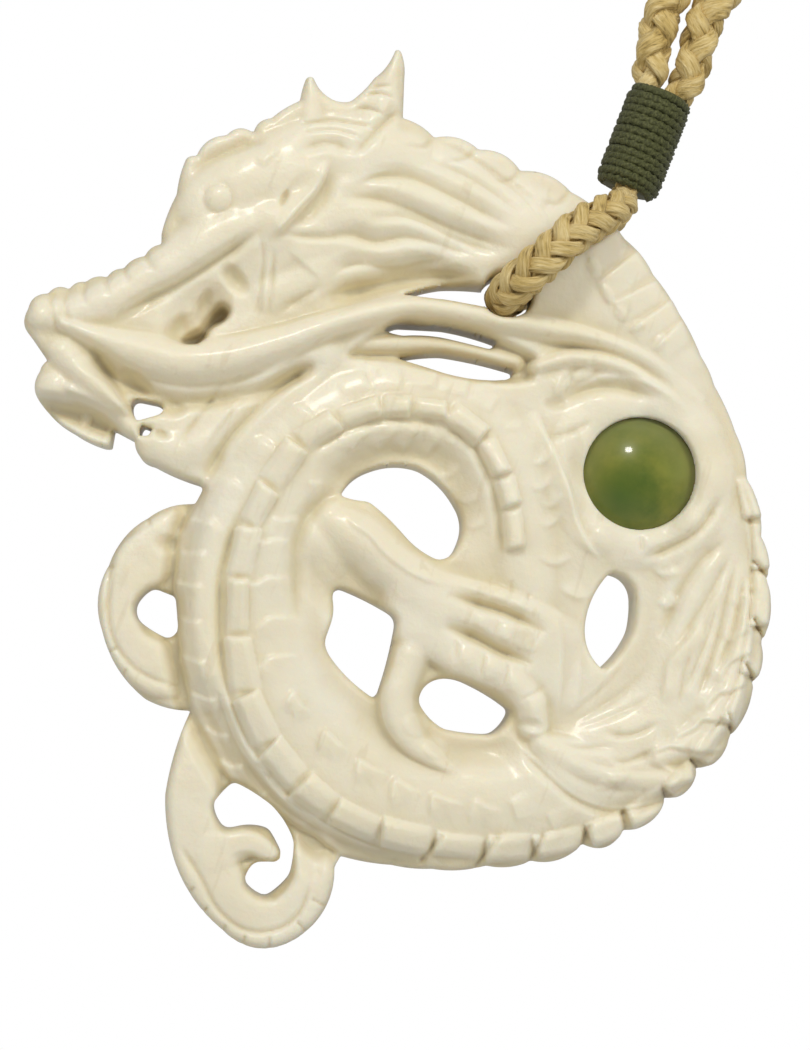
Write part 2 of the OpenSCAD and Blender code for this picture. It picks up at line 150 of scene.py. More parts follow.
room = bpy.data.worlds.new("room")
room.use_nodes = True
bpy.context.scene.world = room
room_tree = room.node_tree
lighting = room_tree.nodes["Background"]
lighting.inputs["Color"].default_value = ROOM_WHITE
lighting.inputs["Strength"].default_value = ROOM_LIGHT
seen = add_node(room_tree, "Background", {"Color": ROOM_WHITE, "Strength": ROOM_SEEN})
light_path = add_node(room_tree, "LightPath")
which = add_node(room_tree, "MixShader")
link_chain(
    room_tree, light_path.outputs["Is Camera Ray"], which.inputs["Fac"],
    lighting.outputs[0], which.inputs[1], seen.outputs[0], which.inputs[2],
    which.outputs[0], room_tree.nodes["World Output"].inputs["Surface"])
bpy.context.scene.view_settings.view_transform = "Standard"

for name, (place, size, power, colour) in LAMPS.items():
    lamp = bpy.data.objects.new(name, bpy.data.lights.new(name, "AREA"))
    lamp.data.shape = "DISK"
    lamp.data.size = size * MM
    lamp.data.energy = power
    lamp.data.color = colour
    lamp.visible_glossy = name == "key_lamp"
    lamp.location = Vector(hung(place))
    lamp.rotation_euler = (Vector(hung((0, 0, 0))) - lamp.location).to_track_quat("-Z", "Y").to_euler()
    bpy.context.scene.collection.objects.link(lamp)

# Braided cord.
# Waxed tan strands of plied yarn in a round braid 3 mm thick. It goes round the neck as one whole loop of
# four strands. The short stretch through the slot and back up behind the bone shows eight finer ones.
BRAID_RADIUS = 1.5
# Strands of a braid, length in which one goes round, half its width, half its thickness, and how far it
# swings in and out
NECK_BRAID = (4, 5.6, 0.74, 0.44, 0.34)
LOOP_BRAID = (8, 6.2, 0.5, 0.32, 0.34)
# Gap between a strand's rings near the braid's ends and elsewhere, how far from an end counts as near, and
# the points of a ring
NECK_RINGS = (0.18, 0.6, 22.0, 16)
LOOP_RINGS = (0.14, 0.14, 0.0, 24)
NECK_STEPS = 12
LOOP_STEPS = 10
EIGHTH_TURN = math.pi / 4
PLY_COUNT = 4
PLY_DEPTH = 0.14
PLY_TURN = 8.0
GRID_HALF = 0.5
WELD = 1e-7
YARN_DARK = (0.22, 0.14, 0.040, 1)
YARN_TAN = (0.63, 0.45, 0.15, 1)
YARN_LIGHT = (0.95, 0.78, 0.41, 1)
# Where the winding begins in the drawing, and how far it leans to the right
WHIP_FOOT = (14.9, 22.3, -0.2)
WHIP_LEAN = math.radians(21)
# From the winding through the slot and back up behind the bone: (across, up, forward, radius)
LOOP_ROWS = [
    (14.4, 21.0, 2.4, 1.15), (13.5, 20.4, 3.8, 1.35), (11.4, 19.1, 4.75, 1.5), (9.8, 17.7, 4.9, 1.5),
    (8.2, 16.3, 4.4, 1.5), (7.1, 15.4, 3.0, 1.5), (6.75, 14.95, 1.2, 1.42), (6.75, 14.95, -0.4, 1.4),
    (6.9, 15.1, -2.0, 1.35), (7.6, 15.6, -3.7, 1.3), (9.0, 16.8, -4.9, 1.4), (10.8, 18.4, -5.1, 1.45),
    (12.6, 19.7, -5.1, 1.4), (13.7, 20.6, -4.9, 1.3), (14.4, 21.1, -2.9, 1.1)]
# The same braid inside the winding: (along the winding, across it, forward, radius)
FRONT_BOUND_ROWS = [
    (3.5, -0.95, 0.0, 0.9), (3.1, -0.95, 0.0, 0.9), (2.3, -0.8, 0.5, 0.9), (1.5, -0.42, 0.85, 0.9),
    (0.8, -0.1, 0.95, 0.9), (0.1, 0.0, 0.95, 0.88), (-0.5, 0.0, 0.98, 0.9)]
BACK_BOUND_ROWS = [
    (-0.5, 0.0, -0.98, 0.9), (0.1, 0.0, -0.95, 0.88), (0.8, 0.1, -0.95, 0.9), (1.5, 0.42, -0.85, 0.9),
    (2.3, 0.8, -0.5, 0.9), (3.1, 0.95, 0.0, 0.9), (3.5, 0.95, 0.0, 0.9)]
PASS_ROWS = [
    (3.7, 0.95, 0, 0.9), (5.0, 0.95, 0, 0.9), (6.4, 0.95, 0, 0.9), (7.3, 1.0, 0, 1.05), (8.0, 1.18, 0, 1.25)]
# Above the winding each pass goes its own way: rows of the drawing
LEFT_FREE_ROWS = [(16.8, 31.4, 0.0, 1.4), (17.4, 34.2, 0.1, 1.45)]
RIGHT_FREE_ROWS = [(19.6, 31.0, 0.0, 1.4), (20.4, 34.0, 0.1, 1.45)]
# From the chest to the nape, right half: (x, y, z) in mm
NECK_POINTS = [
    (1.9, -119.6, -178.0), (5.6, -118.4, -171), (15, -113, -152), (27.5, -105, -127), (39, -95, -101),
    (49, -84, -76), (57, -70, -52), (61, -52, -32), (57, -32, -16), (44, -14, -6), (24, -2, -1)]
NAPE_POINT = (0, 1.5, 0)


def smooth(rows, steps):
    """A smooth curve through rows, with this many steps between two rows."""
    r = np.asarray(rows, float)
    a = np.vstack([r[:1], r[:-2]]) if len(r) > 2 else r[:1]
    b, c = r[:-1], r[1:]
    d = np.vstack([r[2:], r[-1:]]) if len(r) > 2 else r[-1:]
    t = (np.arange(steps) / steps)[None, :, None]
    a, b, c, d = (x[:, None, :] for x in (a, b, c, d))
    curve = 0.5 * (
        2 * b + (c - a) * t + (2 * a - 5 * b + 4 * c - d) * t**2 + (3 * b - a - 3 * c + d) * t**3)
    return np.vstack([curve.reshape(-1, r.shape[1]), r[-1:]])


def run_along(points):
    """How far along a line each of its points lies."""
    return np.concatenate([[0], np.cumsum(np.linalg.norm(np.diff(points, axis=0), axis=1))])


def unit(vectors):
    """The vectors brought to a length of one."""
    return vectors / np.linalg.norm(vectors, axis=-1)[..., None]


def bound(row, hand=1):
    """A row given along and across the winding, as a row of the drawing."""
    c, s = math.cos(WHIP_LEAN), math.sin(WHIP_LEAN)
    along, across, forward, radius = row
    return (WHIP_FOOT[0] + along * s + hand * across * c, WHIP_FOOT[1] + along * c - hand * across * s,
            WHIP_FOOT[2] + forward, radius)


def evenly(curve, gap):
    """The curve again with its points this far apart, gap being one length or one for each of its points."""
    along = run_along(curve[:, :3])
    steps = np.linalg.norm(np.diff(curve[:, :3], axis=0), axis=1)
    gaps = np.broadcast_to(gap, along.shape)
    count = np.concatenate([[0], np.cumsum(steps / ((gaps[1:] + gaps[:-1]) / 2))])
    wanted = np.linspace(0, count[-1], int(count[-1]) + 2)
    places = np.interp(wanted, count, along)
    return np.stack([np.interp(places, along, curve[:, k]) for k in range(curve.shape[1])], 1), places


def side_axes(line, first_side):
    """Two axes square to the line at each of its points, which turn no more than the line itself does."""
    forward = unit(np.gradient(line, axis=0))
    side = np.zeros_like(line)
    now = np.asarray(first_side, float)
    for i, f in enumerate(forward):
        now = unit(now - f * (now @ f))
        side[i] = now
    return side, np.cross(forward, side)


def flat_grid(name, columns, rows):
    """A flat grid as a bmesh and as a mesh, with the column and the row of each of its points."""
    sheet = bmesh.new()
    bmesh.ops.create_grid(sheet, x_segments=columns, y_segments=rows, size=GRID_HALF, calc_uvs=False)
    data = bpy.data.meshes.new(name)
    sheet.to_mesh(data)
    places = np.zeros(len(data.vertices) * 3)
    data.vertices.foreach_get("co", places)
    places = places.reshape(-1, 3) + GRID_HALF
    column = np.rint(places[:, 0] * columns).astype(int)
    row = np.rint(places[:, 1] * rows).astype(int)
    return sheet, data, column, row


def face_corners(data):
    """The point at each corner of a mesh's faces, face after face."""
    corners = np.zeros(len(data.loops), int)
    data.loops.foreach_get("vertex_index", corners)
    return corners


def tube_mesh(name, centre, side, over, half_side, half_over, plies, ply_depth, sides, v_scale):
    """A closed tube of plied yarns, made from a grid wrapped round a line. Its UVs are the share of the way
    round and the millimetres along."""
    sheet, data, column, row = flat_grid(name, sides, len(centre) - 1)
    angle = column * (2 * math.pi / sides) - math.pi / 2
    swell = 1 + ply_depth * np.cos(PLY_COUNT * (angle - plies[row]))
    place = (centre[row] + side[row] * (half_side[row] * swell * np.cos(angle))[:, None]
             + over[row] * (half_over[row] * swell * np.sin(angle))[:, None])
    data.vertices.foreach_set("co", place.ravel())
    corners = face_corners(data)
    uv = data.uv_layers.new(name="UVMap")
    uv.data.foreach_set("uv", np.stack([column[corners] / sides, v_scale[row[corners]]], 1).ravel())
    data.update()
    sheet.clear()
    sheet.from_mesh(data)
    bmesh.ops.remove_doubles(sheet, verts=sheet.verts[:], dist=WELD)
    bmesh.ops.holes_fill(sheet, edges=[e for e in sheet.edges if e.is_boundary], sides=0)
    bmesh.ops.recalc_face_normals(sheet, faces=sheet.faces[:])
    sheet.to_mesh(data)
    sheet.free()
    data.shade_smooth()
    return data


def braid(name, route, first_side, pattern, rings, material):
    """A round braid along the route, its points in metres with a radius in millimetres."""
    strand_count, braid_turn, strand_wide, strand_thick, strand_swing = pattern
    fine_gap, coarse_gap, fine_reach, sides = rings
    per_hand = strand_count // 2
    spread = math.pi / per_hand
    along = run_along(route[:, :3])
    from_end = np.minimum(along, along[-1] - along)
    gap = np.where(from_end < fine_reach * MM, fine_gap, coarse_gap)
    line, places = evenly(route, gap * MM)
    side, over = side_axes(line[:, :3], first_side)
    turns = max(1, round(places[-1] / MM / braid_turn))
    phase = 2 * math.pi * turns * places / places[-1]
    size = line[:, 3] / BRAID_RADIUS * MM
    middle = BRAID_RADIUS - strand_thick - strand_swing
    parts = []
    for k in range(strand_count):
        hand = 1 if k < per_hand else -1
        angle = hand * (phase + spread / 2) + 2 * spread * (k % per_hand) + EIGHTH_TURN - spread / 2
        swing = hand * np.cos(2 * angle)
        radius = (middle + strand_swing * swing) * size
        centre = (line[:, :3] + side * (radius * np.cos(angle))[:, None]
                  + over * (radius * np.sin(angle))[:, None])
        out = side * np.cos(angle)[:, None] + over * np.sin(angle)[:, None]
        ahead = unit(np.gradient(centre, axis=0))
        out = unit(out - ahead * (out * ahead).sum(1)[:, None])
        across = np.cross(ahead, out)
        plies = hand * 2 * math.pi * places / MM / PLY_TURN
        parts.append(tube_mesh(
            f"{name}_strand", centre, across, out, strand_wide * size, strand_thick * size,
            plies, PLY_DEPTH, sides, places / MM))
    joined = bmesh.new()
    for part in parts:
        joined.from_mesh(part)
        bpy.data.meshes.remove(part)
    data = bpy.data.meshes.new(name)
    joined.to_mesh(data)
    joined.free()
    data.shade_smooth()
    data.materials.append(material)
    cord = bpy.data.objects.new(name, data)
    bpy.context.scene.collection.objects.link(cord)
    return cord


def colour_ramp(tree, stops):
    """A ramp through stops of (place, colour)."""
    ramp = add_node(tree, "ValToRGB")
    elements = ramp.color_ramp.elements
    elements[0].position, elements[0].color = stops[0]
    elements[1].position, elements[1].color = stops[-1]
    for place, colour in stops[1:-1]:
        elements.new(place).color = colour
    return ramp


waxed_yarn, tree, yarn = new_finish("waxed_yarn", {
    "Roughness": 0.5, "Specular IOR Level": 0.45, "Sheen Weight": 0.08, "Sheen Roughness": 0.4})
yarn_uv = add_node(tree, "UVMap")
yarn_uv.uv_map = "UVMap"
fibre_lie = add_node(tree, "Mapping", {"Scale": (20.0, 1.9, 1.0), "Rotation": (0, 0, math.radians(4))})
fibres = add_node(tree, "TexNoise", {"Scale": 1.0, "Detail": 6.0, "Roughness": 0.62, "Distortion": 0.35})
dye_spots = add_node(tree, "TexNoise", {"Scale": 380.0, "Detail": 2.0})
yarn_place = add_node(tree, "TexCoord")
dye_mix = add_node(tree, "Mix", {"Factor": 0.35})
yarn_colours = colour_ramp(tree, [(0.34, YARN_DARK), (0.46, YARN_TAN), (0.70, YARN_LIGHT)])
yarn_bump = add_node(tree, "Bump", {"Strength": 0.9, "Distance": 0.00024})
link_chain(
    tree, yarn_uv.outputs["UV"], fibre_lie.inputs["Vector"], fibre_lie.outputs["Vector"],
    fibres.inputs["Vector"], yarn_place.outputs["Object"], dye_spots.inputs["Vector"], fibres.outputs["Fac"],
    dye_mix.inputs["A"], dye_spots.outputs["Fac"], dye_mix.inputs["B"], dye_mix.outputs["Result"],
    yarn_colours.inputs["Fac"], yarn_colours.outputs["Color"], yarn.inputs["Base Color"],
    fibres.outputs["Fac"], yarn_bump.inputs["Height"], yarn_bump.outputs["Normal"], yarn.inputs["Normal"])

right_start = [bound(row) for row in PASS_ROWS] + RIGHT_FREE_ROWS
left_start = [bound(row, -1) for row in PASS_ROWS] + LEFT_FREE_ROWS
right_neck = [(x * MM, y * MM, z * MM, BRAID_RADIUS) for x, y, z in NECK_POINTS]
left_neck = [(-x, y, z, r) for x, y, z, r in right_neck]
nape = [(*(v * MM for v in NAPE_POINT), BRAID_RADIUS)]


def hung_rows(rows):
    """Rows of the drawing with a radius, placed as they hang."""
    r = np.asarray(rows, float)
    return np.hstack([hung(r[:, :3]), r[:, 3:]])


neck_route = smooth(
    np.vstack([hung_rows(right_start), right_neck, nape, left_neck[::-1], hung_rows(left_start[::-1])]),
    NECK_STEPS)
# The braid is turned an eighth round, so that its crossings make a row of Vs towards the viewer
braid_side = hung((1, 0, 1)) - hung((0, 0, 0))
neck_cord = braid("braid_round_neck", neck_route, braid_side, NECK_BRAID, NECK_RINGS, waxed_yarn)
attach(neck_cord, "root")
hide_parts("neck_cord")

front_bound = [bound(row) for row in FRONT_BOUND_ROWS]
back_bound = [bound(row) for row in BACK_BOUND_ROWS]
loop_route = smooth(hung_rows(front_bound + LOOP_ROWS + back_bound), LOOP_STEPS)
pendant_loop = braid("braid_through_slot", loop_route, braid_side, LOOP_BRAID, LOOP_RINGS, waxed_yarn)
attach(pendant_loop, "root")
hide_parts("pendant_loop")

# Whipping.
# Dark green waxed thread wound tightly, turn against turn, round the two passes of the braid above the bone.
WHIP_START = 0.0
WHIP_LENGTH = 7.5
WHIP_RADIUS = 2.22
THREAD_TURNS = 14
THREAD_HALF = 0.28
THREAD_FLATNESS = 1.05
THREAD_PLY_DEPTH = 0.2
THREAD_TWIST = 2.6
THREAD_SIDES = 12
THREAD_STEPS = 90
# The first and last turns are drawn in, over one part in this many of the length
END_ROUNDING = 0.3
END_PART = 9
# The turns lie unevenly by waves: share of the whole, pace, start
WOBBLE = 0.055
WOBBLE_WAVES = [(1.0, 0.37, 1.3), (0.6, 1.71, 0.0)]
CORE_RADIUS = 1.78
CORE_SIDES = 40
THREAD_DARK = (0.028, 0.031, 0.008, 1)
THREAD_OLIVE = (0.076, 0.082, 0.022, 1)
THREAD_LIGHT = (0.17, 0.17, 0.07, 1)

turn_count = THREAD_TURNS * THREAD_STEPS
turn_angle = np.arange(turn_count + 1) / THREAD_STEPS * 2 * math.pi
turn_share = np.arange(turn_count + 1) / turn_count
pull_in = END_ROUNDING * np.clip(1 - np.minimum(turn_share, 1 - turn_share) * END_PART, 0, 1) ** 2
uneven = WOBBLE * sum(part * np.sin(turn_angle * pace + start) for part, pace, start in WOBBLE_WAVES)
lift = WHIP_START + THREAD_HALF + (WHIP_LENGTH - 2 * THREAD_HALF) * turn_share + uneven
reach = WHIP_RADIUS - THREAD_HALF - pull_in
winding_axis = Vector((math.sin(WHIP_LEAN), math.cos(WHIP_LEAN), 0))
winding_side = Vector((math.cos(WHIP_LEAN), -math.sin(WHIP_LEAN), 0))
winding_front = Vector((0, 0, 1))
flat_line = (np.asarray(WHIP_FOOT)[None, :] + lift[:, None] * np.asarray(winding_axis)
             + (reach * np.cos(turn_angle))[:, None] * np.asarray(winding_side)
             + (reach * np.sin(turn_angle))[:, None] * np.asarray(winding_front))
thread_line = hung(flat_line)
whip_middle = hung(np.asarray(WHIP_FOOT)[None, :] + lift[:, None] * np.asarray(winding_axis))
thread_out = unit(thread_line - whip_middle)
thread_ahead = unit(np.gradient(thread_line, axis=0))
thread_across = np.cross(thread_ahead, thread_out)
thread_run = run_along(thread_line) / MM
thread_half = np.full(turn_count + 1, THREAD_HALF * MM)
thread_data = tube_mesh(
    "whipping_thread", thread_line, thread_across, thread_out, thread_half * THREAD_FLATNESS, thread_half,
    thread_run * THREAD_TWIST, THREAD_PLY_DEPTH, THREAD_SIDES, thread_run)
# The first layer of thread under the turns, which closes the gaps between them
core = bmesh.new()
bmesh.ops.create_cone(
    core, cap_ends=True, segments=CORE_SIDES, radius1=CORE_RADIUS * MM, radius2=CORE_RADIUS * MM,
    depth=(WHIP_LENGTH - 2 * THREAD_HALF) * MM, calc_uvs=True)
core_up = (Vector(hung(np.asarray(winding_axis))) - Vector(hung((0, 0, 0)))).normalized()
core_middle = Vector(hung(np.asarray(WHIP_FOOT) + (WHIP_START + WHIP_LENGTH / 2) * np.asarray(winding_axis)))
core_turn = core_up.to_track_quat("Z", "X").to_matrix().to_4x4()
bmesh.ops.transform(core, matrix=Matrix.Translation(core_middle) @ core_turn, verts=core.verts[:])
core.from_mesh(thread_data)
core.to_mesh(thread_data)
core.free()
thread_data.shade_smooth()

waxed_thread, tree, thread = new_finish("waxed_thread", {
    "Roughness": 0.58, "Sheen Weight": 0.12, "Sheen Roughness": 0.35})
thread_uv = add_node(tree, "UVMap")
thread_uv.uv_map = "UVMap"
ply_turn = add_node(tree, "Mapping", {"Scale": (3.0, 3.0, 1.0), "Rotation": (0, 0, math.radians(30))})
ply_noise = add_node(tree, "TexNoise", {"Scale": 2.6, "Detail": 6.0, "Roughness": 0.7})
thread_colours = colour_ramp(tree, [(0.36, THREAD_DARK), (0.52, THREAD_OLIVE), (0.72, THREAD_LIGHT)])
thread_bump = add_node(tree, "Bump", {"Strength": 0.8, "Distance": 0.0001})
link_chain(
    tree, thread_uv.outputs["UV"], ply_turn.inputs["Vector"], ply_turn.outputs["Vector"],
    ply_noise.inputs["Vector"], ply_noise.outputs["Fac"], thread_colours.inputs["Fac"],
    thread_colours.outputs["Color"], thread.inputs["Base Color"], ply_noise.outputs["Fac"],
    thread_bump.inputs["Height"], thread_bump.outputs["Normal"], thread.inputs["Normal"])
thread_data.materials.append(waxed_thread)
whipping = bpy.data.objects.new("whipping_thread", thread_data)
bpy.context.scene.collection.objects.link(whipping)
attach(whipping, "root")
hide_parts("cord_whipping")

# Carved bone.
# One piece of cattle bone, sawn to its outline, pierced, then cut in relief and polished: the dragon's
# head, mane, coiled scaled body, hand, the paw round the stone and two tail curls are all one solid.
BACK_DEPTH = 3.0
BACK_ROUNDING = 0.7
WALL_STEPS = 3
PLATEAU = 2.1
LEAST_HEIGHT = 0.45
BONE_TRIANGLES = 192000
# Of the sheet that the front is made from: its cells, and shares of a cell within which its points are drawn
# to an edge, how closely the edges are walked along, and within which points are merged
CELL = 0.125
SNAP = 0.62
EDGE_STEP = 0.4
SHEET_WELD = 0.12
WALL_WELD = 0.08
MOST_CORNERS = 4
# How far in from an edge the surface is measured from it, and the radius to which the edges are rounded
EDGE_REACH = 1.0
OUTLINE_ROUNDING = 0.7
GAP_ROUNDING = 0.5
# How far corners are worn round, those of a piercing by no more than this share of its width
OUTLINE_WEAR = 0.1
GAP_WEAR = 0.35
GAP_WEAR_SHARE = 0.13
# How far the crease between two raised forms is filled, and the tip of a horn as shares of its root
CREASE = 0.5
HORN_TIP = (0.2, 0.9)
# How pointed a groove and a scoop are at the bottom, and how much narrower a groove's upright wall is
GROOVE_POINT = 1.3
SCOOP_POINT = 1.2
UPRIGHT_WALL = 0.75
# A lip's sharp side is this wide, and its soft side is followed this many times its softness
LIP_EDGE = 0.14
LIP_REACH = 3
SLOPE_MARGIN = 0.01
# How plates differ: by how much, how fast from one to the next, and from where
PLATE_SHIFT = (0.09, 5.3, 0.0)
PLATE_WIDTH = (0.1, 2.7, 0.0)
PLATE_SKEW = (0.16, 1.9, 0.6)
PLATE_LIFT = (0.15, 3.1, 0.0)
# A plate's square step begins and rises, its far end falls, and its sides round off over a share of its half
PLATE_START = 0.1
PLATE_RISE = 0.16
PLATE_FALL = 0.35
PLATE_SIDE = 0.55
# Hollows are found by setting the surface against copies of itself blurred over this many cells
FINE_CELLS = 3
BROAD_CELLS = 10
TINY = 1e-9
LEAST_SHARE = 1e-6
STONE_AT = (15.6, 3.1)
SOCKET_RADIUS = 3.8
SOCKET_FLOOR = 0.25
# Clockwise from under the nose. Each row is a corner and the bulge of the edge that leaves it.
OUTLINE_ROWS = [
    (-24.9, 12.1, 0.35), (-25.1, 13.9, 0.35), (-23.8, 15.0, 0.3), (-22.4, 15.3, 0.2), (-21.3, 15.8, 0.2),
    (-19.9, 16.1, 0.2), (-18.8, 16.7, 0.2), (-17.4, 17.5, 0.2), (-16.3, 18.3, 0.0), (-16.3, 19.0, 0.1),
    (-15.3, 21.7, 0.1), (-14.7, 24.1, 0.1), (-14.0, 24.3, 0.4), (-12.0, 25.7, 0.4), (-10.2, 25.9, 0.3),
    (-9.0, 26.9, 0.1), (-7.1, 28.1, 0.05), (-6.7, 29.6, 0.1), (-6.2, 29.7, -0.2), (-4.9, 28.2, -0.1),
    (-3.7, 28.1, -0.1), (-2.1, 29.7, -0.2), (-0.7, 31.6, 0.1), (-0.3, 31.4, 0.1), (-0.1, 29.7, 0.0),
    (-0.2, 27.0, 0.2), (1.9, 25.7, 0.4), (4.9, 24.9, 0.45), (7.7, 23.5, 0.45), (11.1, 22.1, 0.3),
    (14.7, 18.9, 0.2), (16.6, 16.5, 0.1), (18.3, 13.9, 0.1), (19.8, 11.0, 0.1), (20.7, 9.1, 0.1),
    (22.1, 5.9, 0.2), (22.8, 2.7, 0.4), (23.7, -1.1, 0.35), (24.1, -4.1, 0.5), (23.7, -8.2, 0.35),
    (23.2, -10.8, 0.4), (21.5, -14.5, 0.6), (19.3, -16.5, 0.65), (17.2, -18.5, 0.65), (14.4, -20.6, 0.7),
    (11.7, -21.5, 0.5), (8.3, -22.6, 0.25), (5.3, -22.9, 0.2), (1.7, -23.1, 0.1), (-0.9, -22.9, 0.1),
    (-4.3, -22.3, 0.0), (-4.7, -23.0, 0.75), (-7.2, -27.7, 1.0), (-12.2, -27.0, 0.35), (-15.2, -22.7, 0.2),
    (-15.9, -18.2, 0.2), (-14.3, -12.7, 0.2), (-17.3, -11.9, 0.45), (-20.1, -7.4, 0.5), (-19.7, -3.0, 0.4),
    (-17.2, 0.1, 0.3), (-14.0, 1.1, 0.0), (-13.5, 2.0, 0.0), (-13.7, 2.4, 0.1), (-16.8, 3.7, 0.1),
    (-17.7, 4.2, 0.1), (-18.0, 5.3, 0.0), (-19.5, 6.1, 0.0), (-19.7, 4.9, 0.0), (-20.1, 4.9, 0.1),
    (-22.2, 5.9, 0.2), (-24.4, 7.9, 0.3), (-24.3, 9.8, 0.1), (-23.8, 10.5, 0.0)]
GAPS = {
    "crest": [(-4.4, 1.6, 0.3), (-2.4, 3.4, 0.3), (0.9, 3.5, 0.25), (3.3, 1.2, 0.4), (3.5, -1.6, 0.3),
              (2.1, -2.7, 0.15), (0.0, -1.2, -0.1), (-2.5, 1.2, 0.1)],
    "elbow": [(-4.9, -5.1, 0.1), (-4.5, -4.5, 0.1), (-0.9, -6.3, 0.15), (-0.7, -7.3, 0.1),
              (-1.9, -11.8, 0.1), (-2.4, -11.7, 0.15), (-4.9, -9.3, 0.1), (-5.4, -8.1, 0.0),
              (-4.9, -6.7, -0.1)],
    "palm": [(0.8, -12.1, 0.35), (2.1, -10.6, 0.2), (4.3, -11.0, 0.1), (7.0, -12.7, 0.2), (5.7, -14.3, 0.1),
             (2.5, -13.9, 0.2)],
    "haunch": [(11.9, -7.1, 0.35), (13.6, -3.5, 0.4), (15.3, -4.9, 0.1), (15.1, -7.4, 0.2),
               (13.1, -10.0, 0.4)],
    "cord_slot": [(-0.3, 15.1, 0.1), (2.5, 15.85, 0.1), (6.4, 15.6, 0.0), (6.4, 14.0, 0.0),
                  (2.5, 14.7, 0.05)],
    "upper_slit": [(-1.5, 12.75, 0.05), (-0.5, 13.2, 0.0), (2.5, 13.05, 0.1), (6.2, 12.05, 0.0),
                   (5.7, 11.5, 0.0), (2.5, 12.3, -0.1), (-0.2, 12.4, 0.0)],
    "lower_slit": [(-0.6, 10.9, 0.1), (2.5, 11.25, 0.1), (7.35, 10.15, 0.1), (6.9, 9.5, 0.1),
                   (3.9, 9.5, 0.05), (2.0, 10.0, 0.0)],
    "fang": [(-18.3, 7.3, 0.0), (-18.3, 7.8, 0.05), (-17.9, 8.1, 0.0), (-16.5, 7.8, 0.05),
             (-16.1, 7.3, 0.05), (-16.5, 6.9, 0.0), (-17.9, 6.5, 0.0)],
    "lip": [(-17.7, 5.5, 0.0), (-17.7, 6.0, 0.0), (-17.5, 6.3, 0.0), (-16.8, 6.0, 0.0), (-17.1, 5.5, 0.0)],
    "small_curl": [(-18.0, -5.7, 0.15), (-16.8, -4.5, 0.0), (-15.3, -5.1, 0.0), (-15.1, -7.3, 0.1),
                   (-15.8, -7.9, 0.1), (-17.8, -6.7, 0.1)],
    "large_curl": [(-12.8, -18.9, 0.1), (-11.4, -17.4, 0.1), (-8.9, -18.9, 0.15), (-7.4, -21.3, 0.1),
                   (-7.7, -23.7, 0.1), (-9.3, -25.1, 0.15), (-10.7, -24.1, 0.15), (-10.0, -22.7, 0.05),
                   (-8.5, -22.7, 0.0), (-8.2, -22.3, -0.05), (-9.1, -20.6, -0.2), (-11.4, -20.5, 0.05),
                   (-12.1, -20.5, 0.15)],
}
# The deepest part of the mouth, which nearly comes through: its floor, then its corners and bulges
MOUTH_PIT = (-0.5,
             [(-15.1, 11.9, 0.0), (-14.2, 12.45, 0.0), (-13.7, 12.7, 0.0), (-13.2, 13.6, 0.1),
              (-12.4, 14.3, 0.2), (-11.8, 13.9, 0.1), (-12.3, 13.2, 0.0), (-12.9, 12.9, -0.1),
              (-13.3, 12.2, 0.0), (-13.8, 11.7, 0.1)])
# The round end of the cord slot: its middle, how far it reaches to each side, and its radius
SLOT_END = (6.75, 15.0, 0.15, 1.55)
